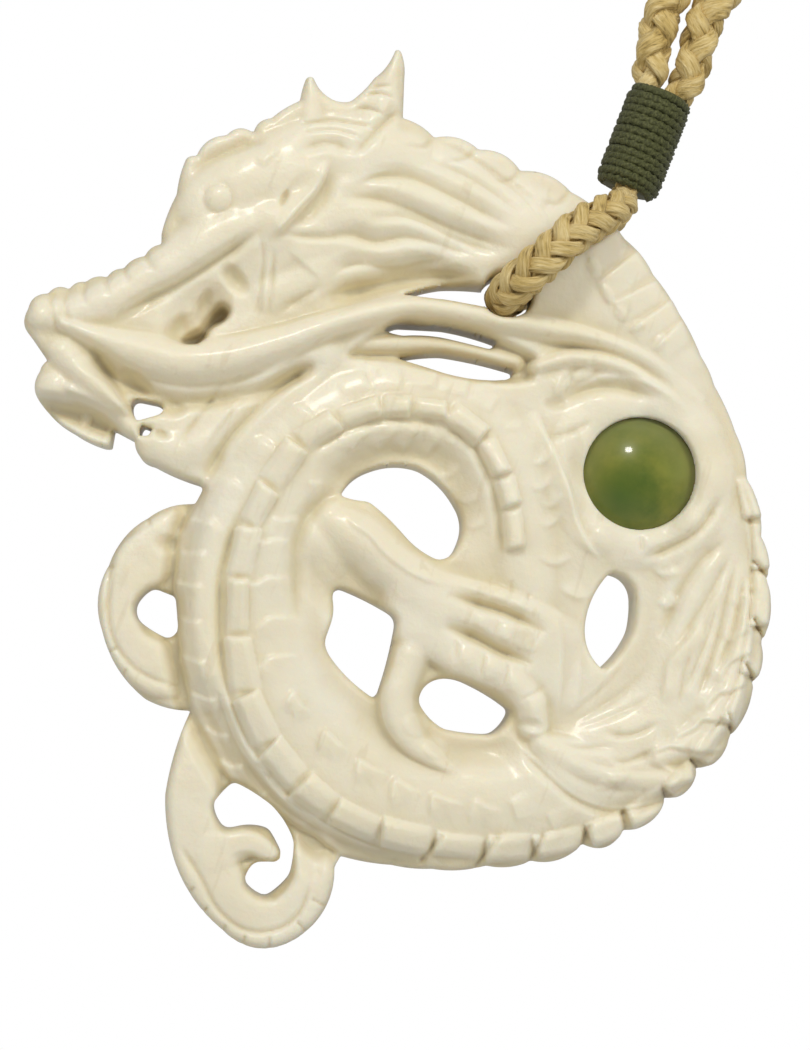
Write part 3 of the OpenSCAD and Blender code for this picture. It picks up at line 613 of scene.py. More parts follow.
# Raised forms: rows of (across, up, half width, crest height)
RIDGES = {
    "body": [(17.0, 12.0, 3.8, 2.6), (18.6, 6.5, 3.6, 2.6), (20.0, -1.0, 4.0, 2.7), (19.6, -7.5, 4.3, 2.9),
             (17.6, -12.5, 4.5, 3.0), (12.6, -16.6, 4.6, 3.1), (5.0, -18.9, 4.5, 3.2),
             (-2.3, -17.9, 4.8, 3.2), (-7.7, -13.4, 5.0, 3.2), (-10.3, -5.9, 5.0, 3.2),
             (-9.4, 1.0, 4.8, 3.1), (-5.7, 5.8, 4.3, 3.0), (-0.3, 7.3, 3.8, 2.9), (4.5, 6.2, 3.6, 2.8),
             (7.2, 2.0, 3.3, 2.8), (7.9, -2.8, 2.8, 2.7), (8.4, -6.0, 2.2, 2.6)],
    "outer_band": [(-11.4, 2.0, 1.7, 2.5), (-12.1, 0.3, 1.9, 2.75), (-12.7, -2.3, 2.2, 2.95),
                   (-13.0, -4.6, 2.3, 3.05), (-12.9, -7.2, 2.4, 3.1), (-12.5, -9.9, 2.3, 3.1),
                   (-11.8, -11.9, 2.2, 3.0), (-10.7, -14.1, 2.0, 2.9), (-9.4, -15.9, 1.6, 2.7)],
    "neck": [(-9.0, 18.8, 4.4, 2.9), (-4.0, 20.6, 5.8, 3.1), (1.7, 20.6, 5.7, 3.1), (7.7, 19.2, 4.7, 2.9),
             (13.0, 16.0, 4.6, 2.7), (17.0, 11.0, 4.2, 2.6)],
    "snout": [(-24.0, 13.4, 1.6, 2.7), (-20.5, 14.2, 1.9, 2.9), (-16.2, 16.4, 2.3, 3.1),
              (-12.0, 18.9, 2.8, 3.2), (-8.0, 19.9, 3.2, 3.2)],
    "skull": [(-13.2, 20.8, 2.9, 2.9), (-9.5, 22.8, 3.4, 3.1), (-4.5, 24.6, 3.2, 3.1),
              (0.0, 24.4, 2.4, 2.8)],
    "cheek": [(-9.0, 15.0, 1.8, 2.6), (-4.5, 16.6, 2.4, 2.7), (0.0, 17.2, 1.8, 2.4)],
    "jaw": [(-23.2, 8.6, 1.9, 2.6), (-20.0, 7.6, 1.4, 2.3), (-16.8, 5.2, 1.4, 2.3), (-13.0, 4.9, 2.3, 2.6),
            (-9.2, 8.0, 2.8, 2.7), (-5.6, 11.2, 2.0, 2.5)],
    "whisker": [(-22.8, 12.9, 0.8, 2.9), (-20.5, 12.0, 1.2, 3.1), (-17.7, 11.1, 1.8, 3.3),
                (-15.0, 10.5, 1.9, 3.4), (-11.7, 10.7, 1.8, 3.4), (-8.3, 11.7, 1.5, 3.4),
                (-5.0, 12.9, 1.2, 3.4), (-0.3, 14.1, 1.1, 3.2), (2.3, 14.0, 1.1, 3.1),
                (5.0, 13.5, 1.1, 3.05), (8.5, 12.9, 1.2, 3.1), (11.5, 12.3, 1.1, 3.15),
                (14.5, 11.3, 1.1, 2.95), (17.0, 9.9, 1.0, 2.75), (19.6, 8.0, 0.8, 2.4)],
    "under_swirl": [(8.8, 10.2, 0.7, 2.6), (11.2, 10.8, 1.0, 2.9), (14.3, 10.3, 1.0, 2.9),
                    (16.7, 9.0, 0.9, 2.7), (18.6, 7.2, 0.7, 2.4)],
    "rear_whisker": [(-4.9, 11.5, 0.8, 1.8), (-0.8, 11.8, 0.8, 1.6), (3.0, 11.6, 0.8, 1.5),
                     (7.4, 10.6, 0.7, 1.5)],
    "arm_root": [(-6.6, -0.6, 1.6, 2.5), (-5.2, -2.4, 1.9, 2.6), (-3.8, -4.2, 1.8, 2.5),
                 (-2.0, -6.0, 1.4, 2.3)],
    "arm": [(-5.0, 0.0, 1.8, 2.7), (-3.2, -1.4, 2.6, 3.1), (-0.6, -3.7, 2.9, 3.3), (2.4, -5.8, 3.2, 3.35)],
    "thumb": [(0.2, -9.0, 1.9, 3.3), (-0.6, -11.6, 1.7, 3.2), (0.0, -14.2, 1.6, 3.1),
              (2.6, -16.4, 0.8, 2.8)],
    "third_finger": [(3.4, -9.3, 1.9, 3.3), (6.4, -10.4, 1.8, 3.3), (8.0, -12.0, 1.6, 3.3),
                     (8.4, -13.7, 1.35, 3.3)],
    "fang": [(-22.7, 11.0, 1.6, 2.7), (-21.0, 9.3, 1.4, 3.0), (-19.4, 7.9, 0.8, 2.9),
             (-18.5, 7.0, 0.3, 2.6)],
}
# Forms with flat tops, given the same way
FLAT_RIDGES = {
    "hand": [(1.0, -6.0, 3.0, 3.3), (4.0, -7.2, 3.4, 3.35), (7.4, -8.4, 3.5, 3.2),
             (11.0, -10.0, 3.2, 2.05)],
    "small_curl": [(-12.6, -0.9, 1.9, 1.3), (-16.2, -1.8, 2.1, 1.5), (-18.9, -4.6, 1.7, 1.75),
                   (-18.8, -8.0, 1.6, 1.75), (-16.4, -9.9, 1.9, 1.6), (-13.0, -9.6, 1.9, 1.3)],
    "large_curl": [(-12.6, -13.2, 2.1, 1.4), (-14.2, -18.2, 1.9, 1.75), (-13.7, -22.2, 2.4, 1.85),
                   (-11.4, -25.8, 2.0, 1.8), (-8.4, -26.6, 1.7, 1.7), (-6.2, -24.4, 1.5, 1.6),
                   (-6.0, -21.4, 1.5, 1.3), (-7.2, -18.4, 1.7, 1.2)],
    "hook": [(-12.6, -21.9, 1.5, 1.85), (-10.4, -21.4, 1.0, 1.75), (-9.0, -22.0, 0.6, 1.6)],
}
FLATNESS = 4.5
# Areas cut down below the rest: level, then the area's corners and bulges, clockwise
LOW_AREAS = {
    "curls": (0.95,
              [(-13.4, 1.9, 0.0), (-15.2, -1.1, 0.0), (-15.4, -4.6, 0.0), (-15.1, -7.8, 0.0),
               (-14.2, -12.6, 0.0), (-11.8, -17.2, 0.0), (-7.8, -19.9, 0.0), (-4.6, -22.0, 0.0),
               (-4.6, -30.0, 0.0), (-24.0, -30.0, 0.0), (-24.0, 2.5, 0.0)]),
    "behind_whisker": (0.8,
                       [(-3.9, 10.9, 0.0), (-2.0, 12.4, 0.1), (0.0, 13.2, 0.1), (6.2, 12.0, 0.0),
                        (8.6, 10.8, 0.1), (8.3, 9.3, 0.1), (3.9, 9.4, -0.1), (-0.5, 10.5, 0.0)]),
}
# Horns: root across, root up, tip across, tip up, half width, crest height
HORNS = [(-1.9, 26.0, -0.8, 31.0, 2.2, 2.55), (-6.2, 25.6, -6.4, 29.6, 1.6, 2.35)]
# The mound round the stone: inner and outer radius, and height. Its knuckles: how far they stand out, how
# many there are and their turn. Its crest lies inward, and it is lower above the stone than below it.
PAW_MOUND = (3.6, 6.5, 0.6)
MOUND_WAVES = [(0.22, 9, 0.8), (0.12, 4, 0.0)]
MOUND_INWARD = 0.75
MOUND_SIDES = 0.75
MOUND_TILT = 0.25
# Fine relief, cut into the raised forms
GROOVES = [
    # half width, depth, fade at the ends, steepness of the right wall, lines
    # Face and horns
    (0.32, 0.3, 0.25, 0.0, [(-23.5, 15.0), (-23.5, 13.8), (-23.0, 12.3)]),
    (0.35, 0.22, 0.25, 0.0, [(-22.5, 15.2), (-22.6, 13.8), (-22.1, 12.7)]),
    (0.35, 0.22, 0.4, 0.0, [(-21.3, 16.0), (-21.4, 14.9), (-21.2, 14.0)],
     [(-19.9, 16.4), (-19.9, 15.4), (-19.6, 14.6)], [(-18.8, 17.0), (-18.6, 16.1), (-18.2, 15.4)],
     [(-17.4, 17.8), (-17.1, 16.9), (-16.6, 16.2)]),
    (0.75, 0.85, 0.22, 0.3, [(-9.4, 19.3), (-12.3, 17.4), (-15.0, 15.7), (-17.3, 14.5), (-19.3, 13.3)]),
    (0.75, 0.45, 0.3, 0.2, [(-14.3, 23.0), (-13.2, 23.9), (-10.6, 24.9), (-9.0, 25.0)]),
    (0.45, 0.4, 0.3, 0.0, [(-8.4, 18.9), (-6.0, 18.7), (-3.5, 18.9)]),
    (0.28, 0.25, 0.2, 0.0, [(-9.8, 19.0), (-9.5, 17.1), (-10.0, 13.5)],
     [(-8.9, 18.0), (-8.8, 17.1), (-9.2, 13.5)]),
    (0.45, 0.35, 0.3, 0.0, [(-8.5, 13.9), (-7.0, 14.7), (-5.5, 15.6)]),
    (0.22, 0.32, 0.3, 0.0, [(-2.5, 28.9), (-1.7, 29.0), (-0.8, 28.9)]),
    (0.22, 0.34, 0.3, 0.0, [(-2.9, 28.4), (-1.9, 28.5), (-0.7, 28.1)]),
    (0.24, 0.36, 0.3, 0.0, [(-3.5, 27.4), (-2.6, 27.5), (-1.3, 26.9)]),
    (0.3, 0.36, 0.15, 0.3, [(-7.1, 26.3), (-5.2, 26.6), (-3.5, 26.4), (-2.0, 26.1)]),
    (0.3, 0.3, 0.15, 0.3, [(-7.0, 25.7), (-4.9, 25.9), (-2.9, 25.3)]),
    (1.0, 0.65, 0.3, 0.2, [(-7.3, 24.3), (-6.2, 24.9), (-4.8, 25.0), (-3.4, 24.2)]),
    (0.6, 0.55, 0.2, 0.0, [(-0.4, 27.5), (-1.5, 26.5), (-2.5, 25.4), (-3.6, 24.1)]),
    (0.8, 0.4, 0.25, 0.0, [(-5.0, 23.0), (-5.5, 21.5), (-6.6, 20.1), (-8.0, 19.1)]),
    (0.8, 0.55, 0.2, 0.0, [(-21.0, 11.4), (-20.0, 10.0), (-18.9, 8.5), (-18.1, 7.6)]),
    (0.6, 0.4, 0.25, 0.0, [(-22.7, 8.0), (-21.0, 7.3), (-19.4, 6.5)]),
    (0.35, 0.3, 0.3, 0.0, [(-12.0, 9.2), (-14.2, 6.2), (-15.3, 4.5)]),
    (0.3, 0.2, 0.3, 0.0, [(-10.2, 8.6), (-12.0, 6.4), (-13.2, 4.5)]),
    # Mane
    (0.85, 0.6, 0.2, 0.2,
     [(-3.7, 22.1), (-2.3, 22.7), (-0.8, 22.9), (0.8, 22.6), (2.7, 21.7), (5.0, 20.5), (7.0, 19.3)]),
    (0.9, 0.7, 0.2, 0.2,
     [(-4.6, 21.3), (-2.7, 21.4), (-0.8, 21.0), (1.0, 20.3), (3.0, 19.4), (5.3, 18.6), (7.3, 17.9)]),
    (0.8, 0.6, 0.2, 0.2, [(-2.6, 19.9), (-0.8, 20.2), (1.0, 19.8), (2.9, 18.9), (5.2, 18.0), (6.5, 17.5)]),
    (0.95, 0.7, 0.2, 0.2,
     [(-5.4, 19.1), (-3.6, 18.9), (-2.0, 18.5), (0.0, 18.8), (2.0, 18.4), (3.8, 17.8), (5.5, 17.3)]),
    (0.95, 0.75, 0.2, 0.2,
     [(-5.4, 15.7), (-4.2, 16.7), (-2.9, 17.0), (-0.8, 16.8), (1.5, 17.3), (3.6, 17.3)]),
    (0.45, 0.3, 0.3, 0.0, [(1.2, 24.0), (3.4, 23.2), (5.6, 21.9), (7.9, 20.2)]),
    (0.35, 0.18, 0.3, 0.0, [(1.9, 25.6), (4.2, 24.3), (7.7, 22.0), (10.2, 19.4)],
     [(4.2, 24.2), (7.5, 21.7), (9.2, 19.6)]),
    (0.3, 0.2, 0.3, 0.0, [(4.9, 25.1), (4.0, 24.2), (2.6, 23.9)], [(7.7, 23.7), (7.0, 22.7), (5.6, 22.6)],
     [(11.1, 22.3), (10.2, 21.2), (8.9, 21.2)]),
    (0.28, 0.22, 0.3, 0.0, [(1.9, 25.9), (1.2, 24.9), (-0.2, 24.9)]),
    # Between the head and the coil
    (1.1, 1.0, 0.15, 0.4, [(-13.4, 2.6), (-11.9, 5.2), (-9.9, 7.4), (-8.0, 9.1), (-6.0, 10.4)]),
    # Coil: beside the plates, and the inner valley
    (0.6, 0.38, 0.12, 0.0,
     [(2.0, 6.4), (2.8, 5.9), (4.2, 5.1), (5.1, 3.7), (5.7, 2.2), (6.1, 0.4), (6.3, -2.4)]),
    (0.65, 0.4, 0.12, 0.0, [(-6.7, 4.3), (-4.0, 5.9), (-1.7, 6.5), (0.6, 6.5), (2.6, 6.0)]),
    (0.9, 0.6, 0.2, 0.0, [(-4.4, 2.3), (-6.1, 0.8), (-7.0, -0.6), (-7.4, -2.6), (-7.2, -6.8)]),
    (0.6, 0.55, 0.1, 0.0,
     [(-10.6, 1.0), (-11.3, -0.4), (-11.9, -2.3), (-12.3, -4.1), (-12.35, -7.2), (-12.1, -9.9),
      (-11.6, -11.9), (-10.6, -14.3), (-9.6, -15.9), (-8.3, -17.6), (-6.8, -19.0), (-4.2, -20.6),
      (-1.0, -21.9), (1.9, -22.5)]),
    # Fingers
    (0.85, 1.15, 0.3, 0.5, [(2.6, -4.9), (4.5, -5.6), (6.7, -6.3), (9.4, -7.6)]),
    (0.9, 1.2, 0.3, 0.5, [(2.3, -7.0), (4.5, -7.9), (6.2, -8.8), (8.5, -9.7)]),
    # The hollow above the whisker
    (1.3, 0.9, 0.2, 0.0, [(-6.0, 14.6), (-3.0, 15.6), (1.0, 16.4), (5.0, 16.2)]),
    # Creases of the fingers
    (0.25, 0.2, 0.3, 0.0, [(3.3, -7.7), (3.2, -9.6)]),
    (0.25, 0.22, 0.3, 0.0, [(5.2, -8.6), (4.8, -10.6)], [(6.9, -9.3), (6.2, -11.4)],
     [(9.2, -11.0), (7.2, -12.2)]),
    (0.22, 0.16, 0.3, 0.0, [(5.6, -3.8), (5.5, -5.3)], [(7.0, -4.0), (6.8, -5.7)],
     [(8.2, -4.7), (7.7, -6.2)]),
    (0.22, 0.18, 0.3, 0.0, [(6.2, -6.1), (5.6, -8.2)], [(7.4, -6.6), (6.8, -8.6)],
     [(8.9, -7.3), (7.9, -9.1)]),
    # Paw and arches round the stone
    (0.55, 0.6, 0.2, 0.0, [(20.9, 1.6), (20.4, 0.7), (19.4, -0.7), (17.7, -1.8), (15.6, -2.6)]),
    (0.75, 0.55, 0.25, 0.0, [(9.9, 7.6), (11.2, 8.4), (12.9, 8.85), (14.9, 8.7), (16.9, 8.0)]),
    (0.7, 0.45, 0.25, 0.0, [(8.6, 11.6), (11.0, 11.6), (13.4, 11.2), (15.8, 10.1), (17.8, 8.5)]),
    (0.4, 0.3, 0.25, 0.0, [(9.4, 5.4), (11.1, 5.9), (12.4, 6.6)]),
    (0.3, 0.25, 0.3, 0.0, [(15.6, -1.0), (15.5, -2.3)]),
    # Haunch hair
    (0.7, 0.5, 0.2, 0.0, [(21.3, -1.2), (19.5, -2.8), (18.3, -4.5), (17.6, -6.0), (16.8, -8.0)]),
    (0.6, 0.42, 0.2, 0.0, [(21.6, -2.2), (20.2, -4.8), (19.0, -6.7), (17.9, -8.4)]),
    (0.5, 0.45, 0.2, 0.0, [(22.0, -2.5), (21.3, -5.0), (20.7, -7.6), (19.9, -10.0), (18.9, -12.3)]),
    (0.42, 0.38, 0.2, 0.0, [(22.5, -3.4), (22.2, -5.1), (21.8, -7.1), (21.0, -9.0), (20.3, -10.3)]),
    (0.42, 0.32, 0.2, 0.0, [(20.7, -5.0), (20.1, -7.3), (19.1, -9.7), (18.1, -11.8)]),
    (0.4, 0.28, 0.2, 0.0, [(18.9, -8.6), (18.3, -10.4), (17.9, -12.4)]),
    (0.34, 0.14, 0.35, 0.0, [(10.4, -13.3), (11.8, -12.2), (13.4, -10.8), (15.0, -8.9)]),
    (0.36, 0.16, 0.35, 0.0, [(10.7, -13.6), (12.6, -12.6), (14.6, -11.2), (16.2, -9.5)]),
    (0.34, 0.16, 0.35, 0.0, [(11.2, -13.9), (13.2, -13.2), (15.3, -12.2), (16.8, -11.0)]),
    (0.35, 0.35, 0.25, 0.0, [(13.0, -14.0), (14.1, -14.3), (15.3, -14.1), (16.6, -13.4)]),
    (0.35, 0.32, 0.25, 0.0, [(13.3, -15.8), (14.4, -16.0), (15.6, -15.6), (16.4, -15.1)]),
    # Creases between the leaf-shaped locks
    (0.24, 0.22, 0.15, 0.0, [(17.6, -14.6), (19.0, -13.9), (19.5, -13.4), (20.7, -13.5), (21.6, -13.4)]),
    (0.24, 0.24, 0.15, 0.0, [(15.9, -15.7), (17.2, -15.15), (18.0, -15.25), (19.7, -15.5), (20.8, -15.3)]),
    (0.24, 0.22, 0.15, 0.0, [(19.8, -12.6), (20.5, -11.7), (21.3, -11.5), (22.6, -10.9)]),
    (0.22, 0.2, 0.15, 0.0, [(20.8, -10.6), (21.4, -9.6), (22.4, -9.1), (23.0, -8.8)]),
    (0.55, 0.24, 0.3, 0.0, [(9.4, -15.8), (11.6, -17.2), (14.2, -17.9), (16.4, -17.8)]),
    (0.5, 0.2, 0.3, 0.0, [(10.6, -15.4), (12.8, -16.2), (15.4, -16.6), (17.6, -16.5)]),
    # Under the big tuft
    (0.55, 0.55, 0.12, 0.0,
     [(7.6, -15.3), (9.3, -17.0), (11.1, -18.5), (13.4, -19.3), (15.7, -19.0), (17.3, -18.4),
      (18.6, -17.2)]),
    (0.3, 0.22, 0.35, 0.0, [(9.8, -14.6), (11.4, -15.1), (13.6, -15.0)]),
    # Back scales: the slits between them
    (0.22, 0.8, 0.0, 0.0, [(23.2, -2.8), (24.3, -4.0)], [(23.1, -6.6), (24.0, -8.2)],
     [(22.5, -9.6), (23.3, -10.9)], [(21.2, -12.9), (21.8, -14.5)], [(18.8, -15.9), (19.6, -16.8)],
     [(16.9, -17.8), (17.5, -18.9)]),
    (0.32, 0.6, 0.0, 0.0, [(14.3, -19.5), (14.6, -21.0)], [(12.0, -20.3), (11.6, -21.9)]),
    (0.32, 0.55, 0.0, 0.0, [(8.9, -20.9), (8.1, -22.9)]),
    (0.32, 0.5, 0.0, 0.0, [(5.9, -21.0), (4.6, -22.9)], [(2.2, -20.9), (1.0, -22.5)]),
    (0.3, 0.35, 0.1, 0.0,
     [(22.2, 3.0), (22.9, 0.0), (23.0, -4.0), (22.5, -8.0), (21.4, -12.0), (19.2, -15.4)]),
    # Curls
    (0.32, 0.32, 0.1, 0.0,
     [(-16.9, -0.3), (-18.9, -1.5), (-19.6, -3.6), (-19.5, -7.4), (-18.2, -9.6), (-16.4, -10.7),
      (-14.5, -11.2)],
     [(-14.9, -21.4), (-13.5, -23.6), (-12.5, -25.5), (-11.1, -26.8), (-9.6, -27.2), (-8.0, -26.8),
      (-6.9, -25.7), (-6.3, -23.9)]),
    (0.2, 0.3, 0.0, 0.0, [(-14.0, -24.3), (-14.6, -24.9)], [(-13.1, -25.6), (-13.7, -26.2)],
     [(-11.9, -26.8), (-12.3, -27.6)], [(-10.6, -27.5), (-10.8, -28.3)], [(-9.0, -27.6), (-9.0, -28.4)],
     [(-7.1, -26.6), (-6.6, -27.2)], [(-6.1, -25.1), (-5.4, -25.5)], [(-17.2, 0.5), (-17.0, -0.3)],
     [(-20.1, -3.0), (-19.4, -3.2)], [(-19.9, -8.9), (-19.2, -8.6)], [(-18.9, -10.7), (-18.5, -10.0)]),
]
LIPS = [
    # lift on the line's left, softness, fade at the ends, lines
    # The coil stands over the two curls
    (0.22, 0.8, 0.06,
     [(-13.4, 1.9), (-15.2, -1.1), (-15.4, -4.6), (-15.1, -7.8), (-14.2, -12.6), (-11.8, -17.2),
      (-7.8, -19.9), (-4.6, -22.0)]),
    # Scale edges on the coil's outer side
    (0.32, 0.7, 0.2, [(-12.6, 0.0), (-13.5, -0.15), (-14.5, 0.2)]),
    (0.34, 0.7, 0.2, [(-13.1, -2.2), (-14.0, -2.3), (-15.1, -2.0)]),
    (0.4, 0.7, 0.2, [(-13.3, -4.4), (-14.3, -4.4), (-15.4, -4.0)]),
    (0.34, 0.7, 0.2, [(-13.4, -6.7), (-14.2, -6.8), (-15.2, -6.3)]),
    (0.42, 0.7, 0.2, [(-13.1, -9.4), (-13.9, -9.4), (-15.0, -8.8)],
     [(-12.4, -11.9), (-13.2, -11.9), (-14.4, -11.3)]),
    (0.4, 0.7, 0.2, [(-11.6, -14.2), (-12.4, -14.2), (-13.4, -13.6)],
     [(-10.6, -16.1), (-11.4, -16.3), (-12.4, -15.8)]),
    (0.34, 0.7, 0.2, [(-9.1, -18.0), (-9.9, -18.2), (-10.9, -17.7)]),
    # Whisker, face and mane
    (0.25, 1.6, 0.12,
     [(-22.9, 12.9), (-21.3, 12.0), (-19.3, 10.7), (-17.0, 9.4), (-14.7, 8.9), (-12.0, 9.1), (-9.5, 9.8),
      (-7.7, 10.6), (-5.7, 11.6), (-3.0, 12.7)]),
    (0.5, 1.6, 0.15, [(-9.1, 18.4), (-7.9, 19.5), (-6.7, 20.9), (-6.0, 21.7), (-5.4, 22.8), (-5.2, 23.8)]),
    (0.35, 0.3, 0.15, [(-9.1, 18.4), (-7.9, 19.5), (-6.7, 20.9), (-6.0, 21.7), (-5.4, 22.8), (-5.2, 23.8)]),
    (0.25, 0.6, 0.3, [(-9.6, 23.2), (-9.1, 23.9), (-8.4, 24.4)]),
    (0.2, 0.7, 0.3, [(-8.4, 20.9), (-7.9, 22.0), (-6.7, 23.1)]),
    (0.25, 1.2, 0.3, [(-8.0, 17.9), (-6.8, 16.8), (-5.6, 15.8)]),
    (0.25, 0.7, 0.3, [(-3.6, 22.1), (-2.2, 22.9), (-0.7, 23.1)]),
    # Scale edges of the inner band, from the inner end outward
    (0.24, 1.0, 0.25, [(-5.5, 2.4), (-6.5, 2.5)]),
    (0.26, 1.0, 0.2, [(-7.0, 0.1), (-8.2, -0.1), (-8.9, 0.2)]),
    (0.28, 1.0, 0.2, [(-7.6, -1.5), (-8.2, -1.4), (-8.8, -1.4), (-9.3, -1.6), (-9.9, -1.1)],
     [(-7.7, -3.8), (-8.2, -3.9), (-9.1, -3.9), (-9.9, -4.3), (-10.9, -4.2)],
     [(-7.3, -6.5), (-8.8, -6.5), (-9.5, -6.9), (-10.1, -7.6)],
     [(-7.0, -9.0), (-8.3, -9.0), (-9.2, -9.3), (-10.0, -10.2)]),
    (0.42, 0.8, 0.2, [(-6.2, -12.9), (-7.0, -12.1), (-7.5, -11.4), (-8.3, -12.6)],
     [(-3.7, -15.4), (-4.7, -14.5), (-5.5, -13.9), (-6.0, -15.6)],
     [(-1.2, -16.8), (-2.3, -16.3), (-3.2, -15.9), (-3.4, -17.4)]),
    (0.38, 0.8, 0.2, [(1.0, -18.1), (0.0, -17.5), (-0.8, -17.1), (-1.1, -18.1), (-0.9, -19.1)],
     [(3.8, -18.8), (2.7, -18.4), (1.7, -18.1), (1.5, -18.7), (1.6, -19.9)]),
    (0.26, 1.0, 0.2, [(6.3, -19.2), (5.3, -18.9), (4.5, -18.5), (4.1, -19.3), (4.2, -20.4)]),
    (0.26, 1.0, 0.25, [(6.6, -18.4), (7.0, -19.2), (7.3, -20.2)]),
    (0.24, 1.0, 0.25, [(9.1, -19.3), (9.4, -20.0), (9.8, -20.7)]),
    # Round scale edges right of the plates
    (0.2, 0.5, 0.35, [(6.5, 6.4), (6.8, 6.0), (7.4, 6.0), (7.8, 6.6)]),
    (0.26, 0.5, 0.35, [(8.3, 3.9), (8.8, 3.6), (9.4, 4.0), (9.7, 4.8)]),
    (0.22, 0.5, 0.35, [(8.1, 2.3), (8.6, 1.9), (9.2, 2.1), (9.6, 2.9)]),
    (0.26, 0.5, 0.35, [(8.8, 1.1), (9.4, 0.8), (10.0, 1.1), (10.4, 1.8)]),
    (0.24, 0.5, 0.35, [(8.7, -0.2), (9.3, -0.5), (9.9, -0.2), (10.3, 0.6)]),
    (0.3, 0.55, 0.35, [(8.6, -2.5), (9.3, -2.9), (10.2, -3.0), (11.0, -2.4)]),
    (0.32, 0.6, 0.35, [(10.1, -4.4), (10.7, -5.0), (11.6, -5.3), (12.3, -5.0)]),
    (0.22, 0.5, 0.35, [(2.1, 3.2), (2.6, 2.8), (3.2, 3.1), (3.6, 3.8)]),
    (0.24, 0.5, 0.35, [(3.3, 1.5), (3.9, 1.1), (4.6, 1.3), (5.1, 1.9)]),
    (0.22, 0.5, 0.35, [(3.8, -0.2), (4.3, -0.6), (4.9, -0.4), (5.4, 0.2)]),
    # Overlapping scales by the crest gap
    (0.24, 0.9, 0.25, [(-3.6, 4.2), (-3.2, 5.0), (-2.2, 5.8)]),
    (0.26, 0.9, 0.25, [(-2.0, 4.3), (-1.4, 5.1), (-0.4, 5.9)]),
    (0.28, 0.9, 0.25, [(-0.2, 4.3), (0.2, 5.2), (1.0, 6.0)], [(1.4, 4.0), (1.7, 4.7), (2.4, 5.4)]),
    # Faint scale edges of the outer flank, top left
    (0.16, 0.9, 0.3, [(-6.0, 6.4), (-6.5, 7.1), (-7.7, 7.8)], [(-8.6, 4.2), (-9.1, 4.9), (-10.3, 5.6)],
     [(-10.6, 1.6), (-11.2, 2.3), (-12.3, 2.8)], [(-11.8, -1.1), (-12.4, -0.5), (-13.5, -0.2)]),
    # Arm, web and thumb
    (0.3, 1.4, 0.25,
     [(-4.4, 0.6), (-3.5, -0.5), (-2.5, -1.2), (-1.5, -2.4), (-0.1, -3.5), (1.4, -4.2), (3.2, -4.5)]),
    (0.28, 0.7, 0.25, [(10.0, -13.3), (10.2, -11.0), (10.3, -8.4), (10.0, -5.6)]),
    (0.22, 0.8, 0.3, [(11.1, -12.9), (11.5, -10.8), (11.5, -8.6)]),
    (0.5, 1.3, 0.15, [(-1.6, -9.6), (-1.7, -12.1), (-1.1, -14.1), (0.4, -15.7), (3.3, -16.9)]),
    # The fang's two edges
    (0.35, 0.9, 0.12, [(-18.4, 7.1), (-19.3, 8.4), (-20.3, 9.8), (-21.2, 11.1)]),
    (0.35, 0.8, 0.12, [(-22.8, 8.6), (-21.0, 7.8), (-19.3, 7.05), (-18.4, 6.8)]),
    # Sharp tail of the ridge left of the stone
    (0.5, 1.2, 0.15,
     [(13.4, -3.0), (12.3, -1.9), (11.5, -0.3), (10.9, 1.9), (10.1, 4.1), (9.3, 5.7), (8.6, 7.4)]),
    (0.35, 0.6, 0.3, [(9.9, 8.2), (10.4, 9.5), (11.3, 10.0)]),
    (0.28, 0.6, 0.25, [(18.6, 7.6), (16.6, 8.9), (14.0, 9.6), (11.9, 9.2), (10.6, 8.0)]),
    # Hair ridge and the rim of the big tuft
    (0.4, 1.0, 0.15,
     [(19.4, -6.6), (18.7, -7.7), (17.9, -8.7), (17.2, -9.6), (17.0, -10.9), (16.8, -12.2)]),
    (0.35, 1.4, 0.12,
     [(18.6, -16.9), (17.2, -18.1), (15.7, -18.7), (13.5, -19.0), (11.3, -18.2), (9.5, -16.8), (7.8, -15.1),
      (6.8, -13.9)]),
    (0.28, 0.9, 0.2, [(16.3, -3.2), (16.9, -3.7), (17.6, -3.8), (18.2, -3.5)]),
    (0.3, 0.9, 0.2, [(16.7, -5.3), (17.2, -5.9), (17.8, -5.7), (18.1, -4.9)]),
    (0.25, 0.9, 0.2, [(13.0, -16.8), (13.6, -17.4), (14.3, -17.2), (14.7, -16.4)]),
    # Each leaf-shaped lock lies over the next one down
    (0.46, 0.7, 0.15, [(17.4, -14.7), (19.0, -13.9), (19.5, -13.4), (20.7, -13.5), (21.8, -13.4)]),
    (0.5, 0.7, 0.15, [(15.7, -15.8), (17.2, -15.15), (18.0, -15.25), (19.7, -15.5), (21.0, -15.3)]),
    (0.44, 0.7, 0.15, [(15.6, -15.9), (16.7, -16.35), (17.8, -16.75), (19.4, -16.6)]),
    (0.42, 0.7, 0.15, [(19.6, -12.8), (20.5, -11.7), (21.3, -11.5), (22.6, -10.9)]),
    (0.38, 0.7, 0.15, [(20.6, -10.8), (21.4, -9.6), (22.4, -9.1), (23.1, -8.8)]),
    (0.26, 0.7, 0.15, [(21.2, -8.3), (22.0, -7.7), (23.1, -7.2)]),
    (0.24, 0.7, 0.15, [(21.9, -5.9), (22.5, -5.0), (23.2, -4.4)]),
]
# Leaf-shaped locks, each with a domed middle
LEAVES = [
    [(8.9, -14.9, 1.3, 3.0), (11.5, -16.2, 2.3, 3.35), (14.4, -16.9, 2.4, 3.45), (17.0, -17.1, 1.4, 3.3),
     (18.6, -17.0, 0.6, 3.0)],
    [(16.6, -15.7, 1.0, 3.3), (18.8, -14.6, 1.7, 3.4), (20.6, -12.6, 1.8, 3.3), (21.6, -10.2, 1.5, 3.15),
     (22.2, -7.8, 1.1, 3.0), (22.6, -5.2, 0.7, 2.8)],
]
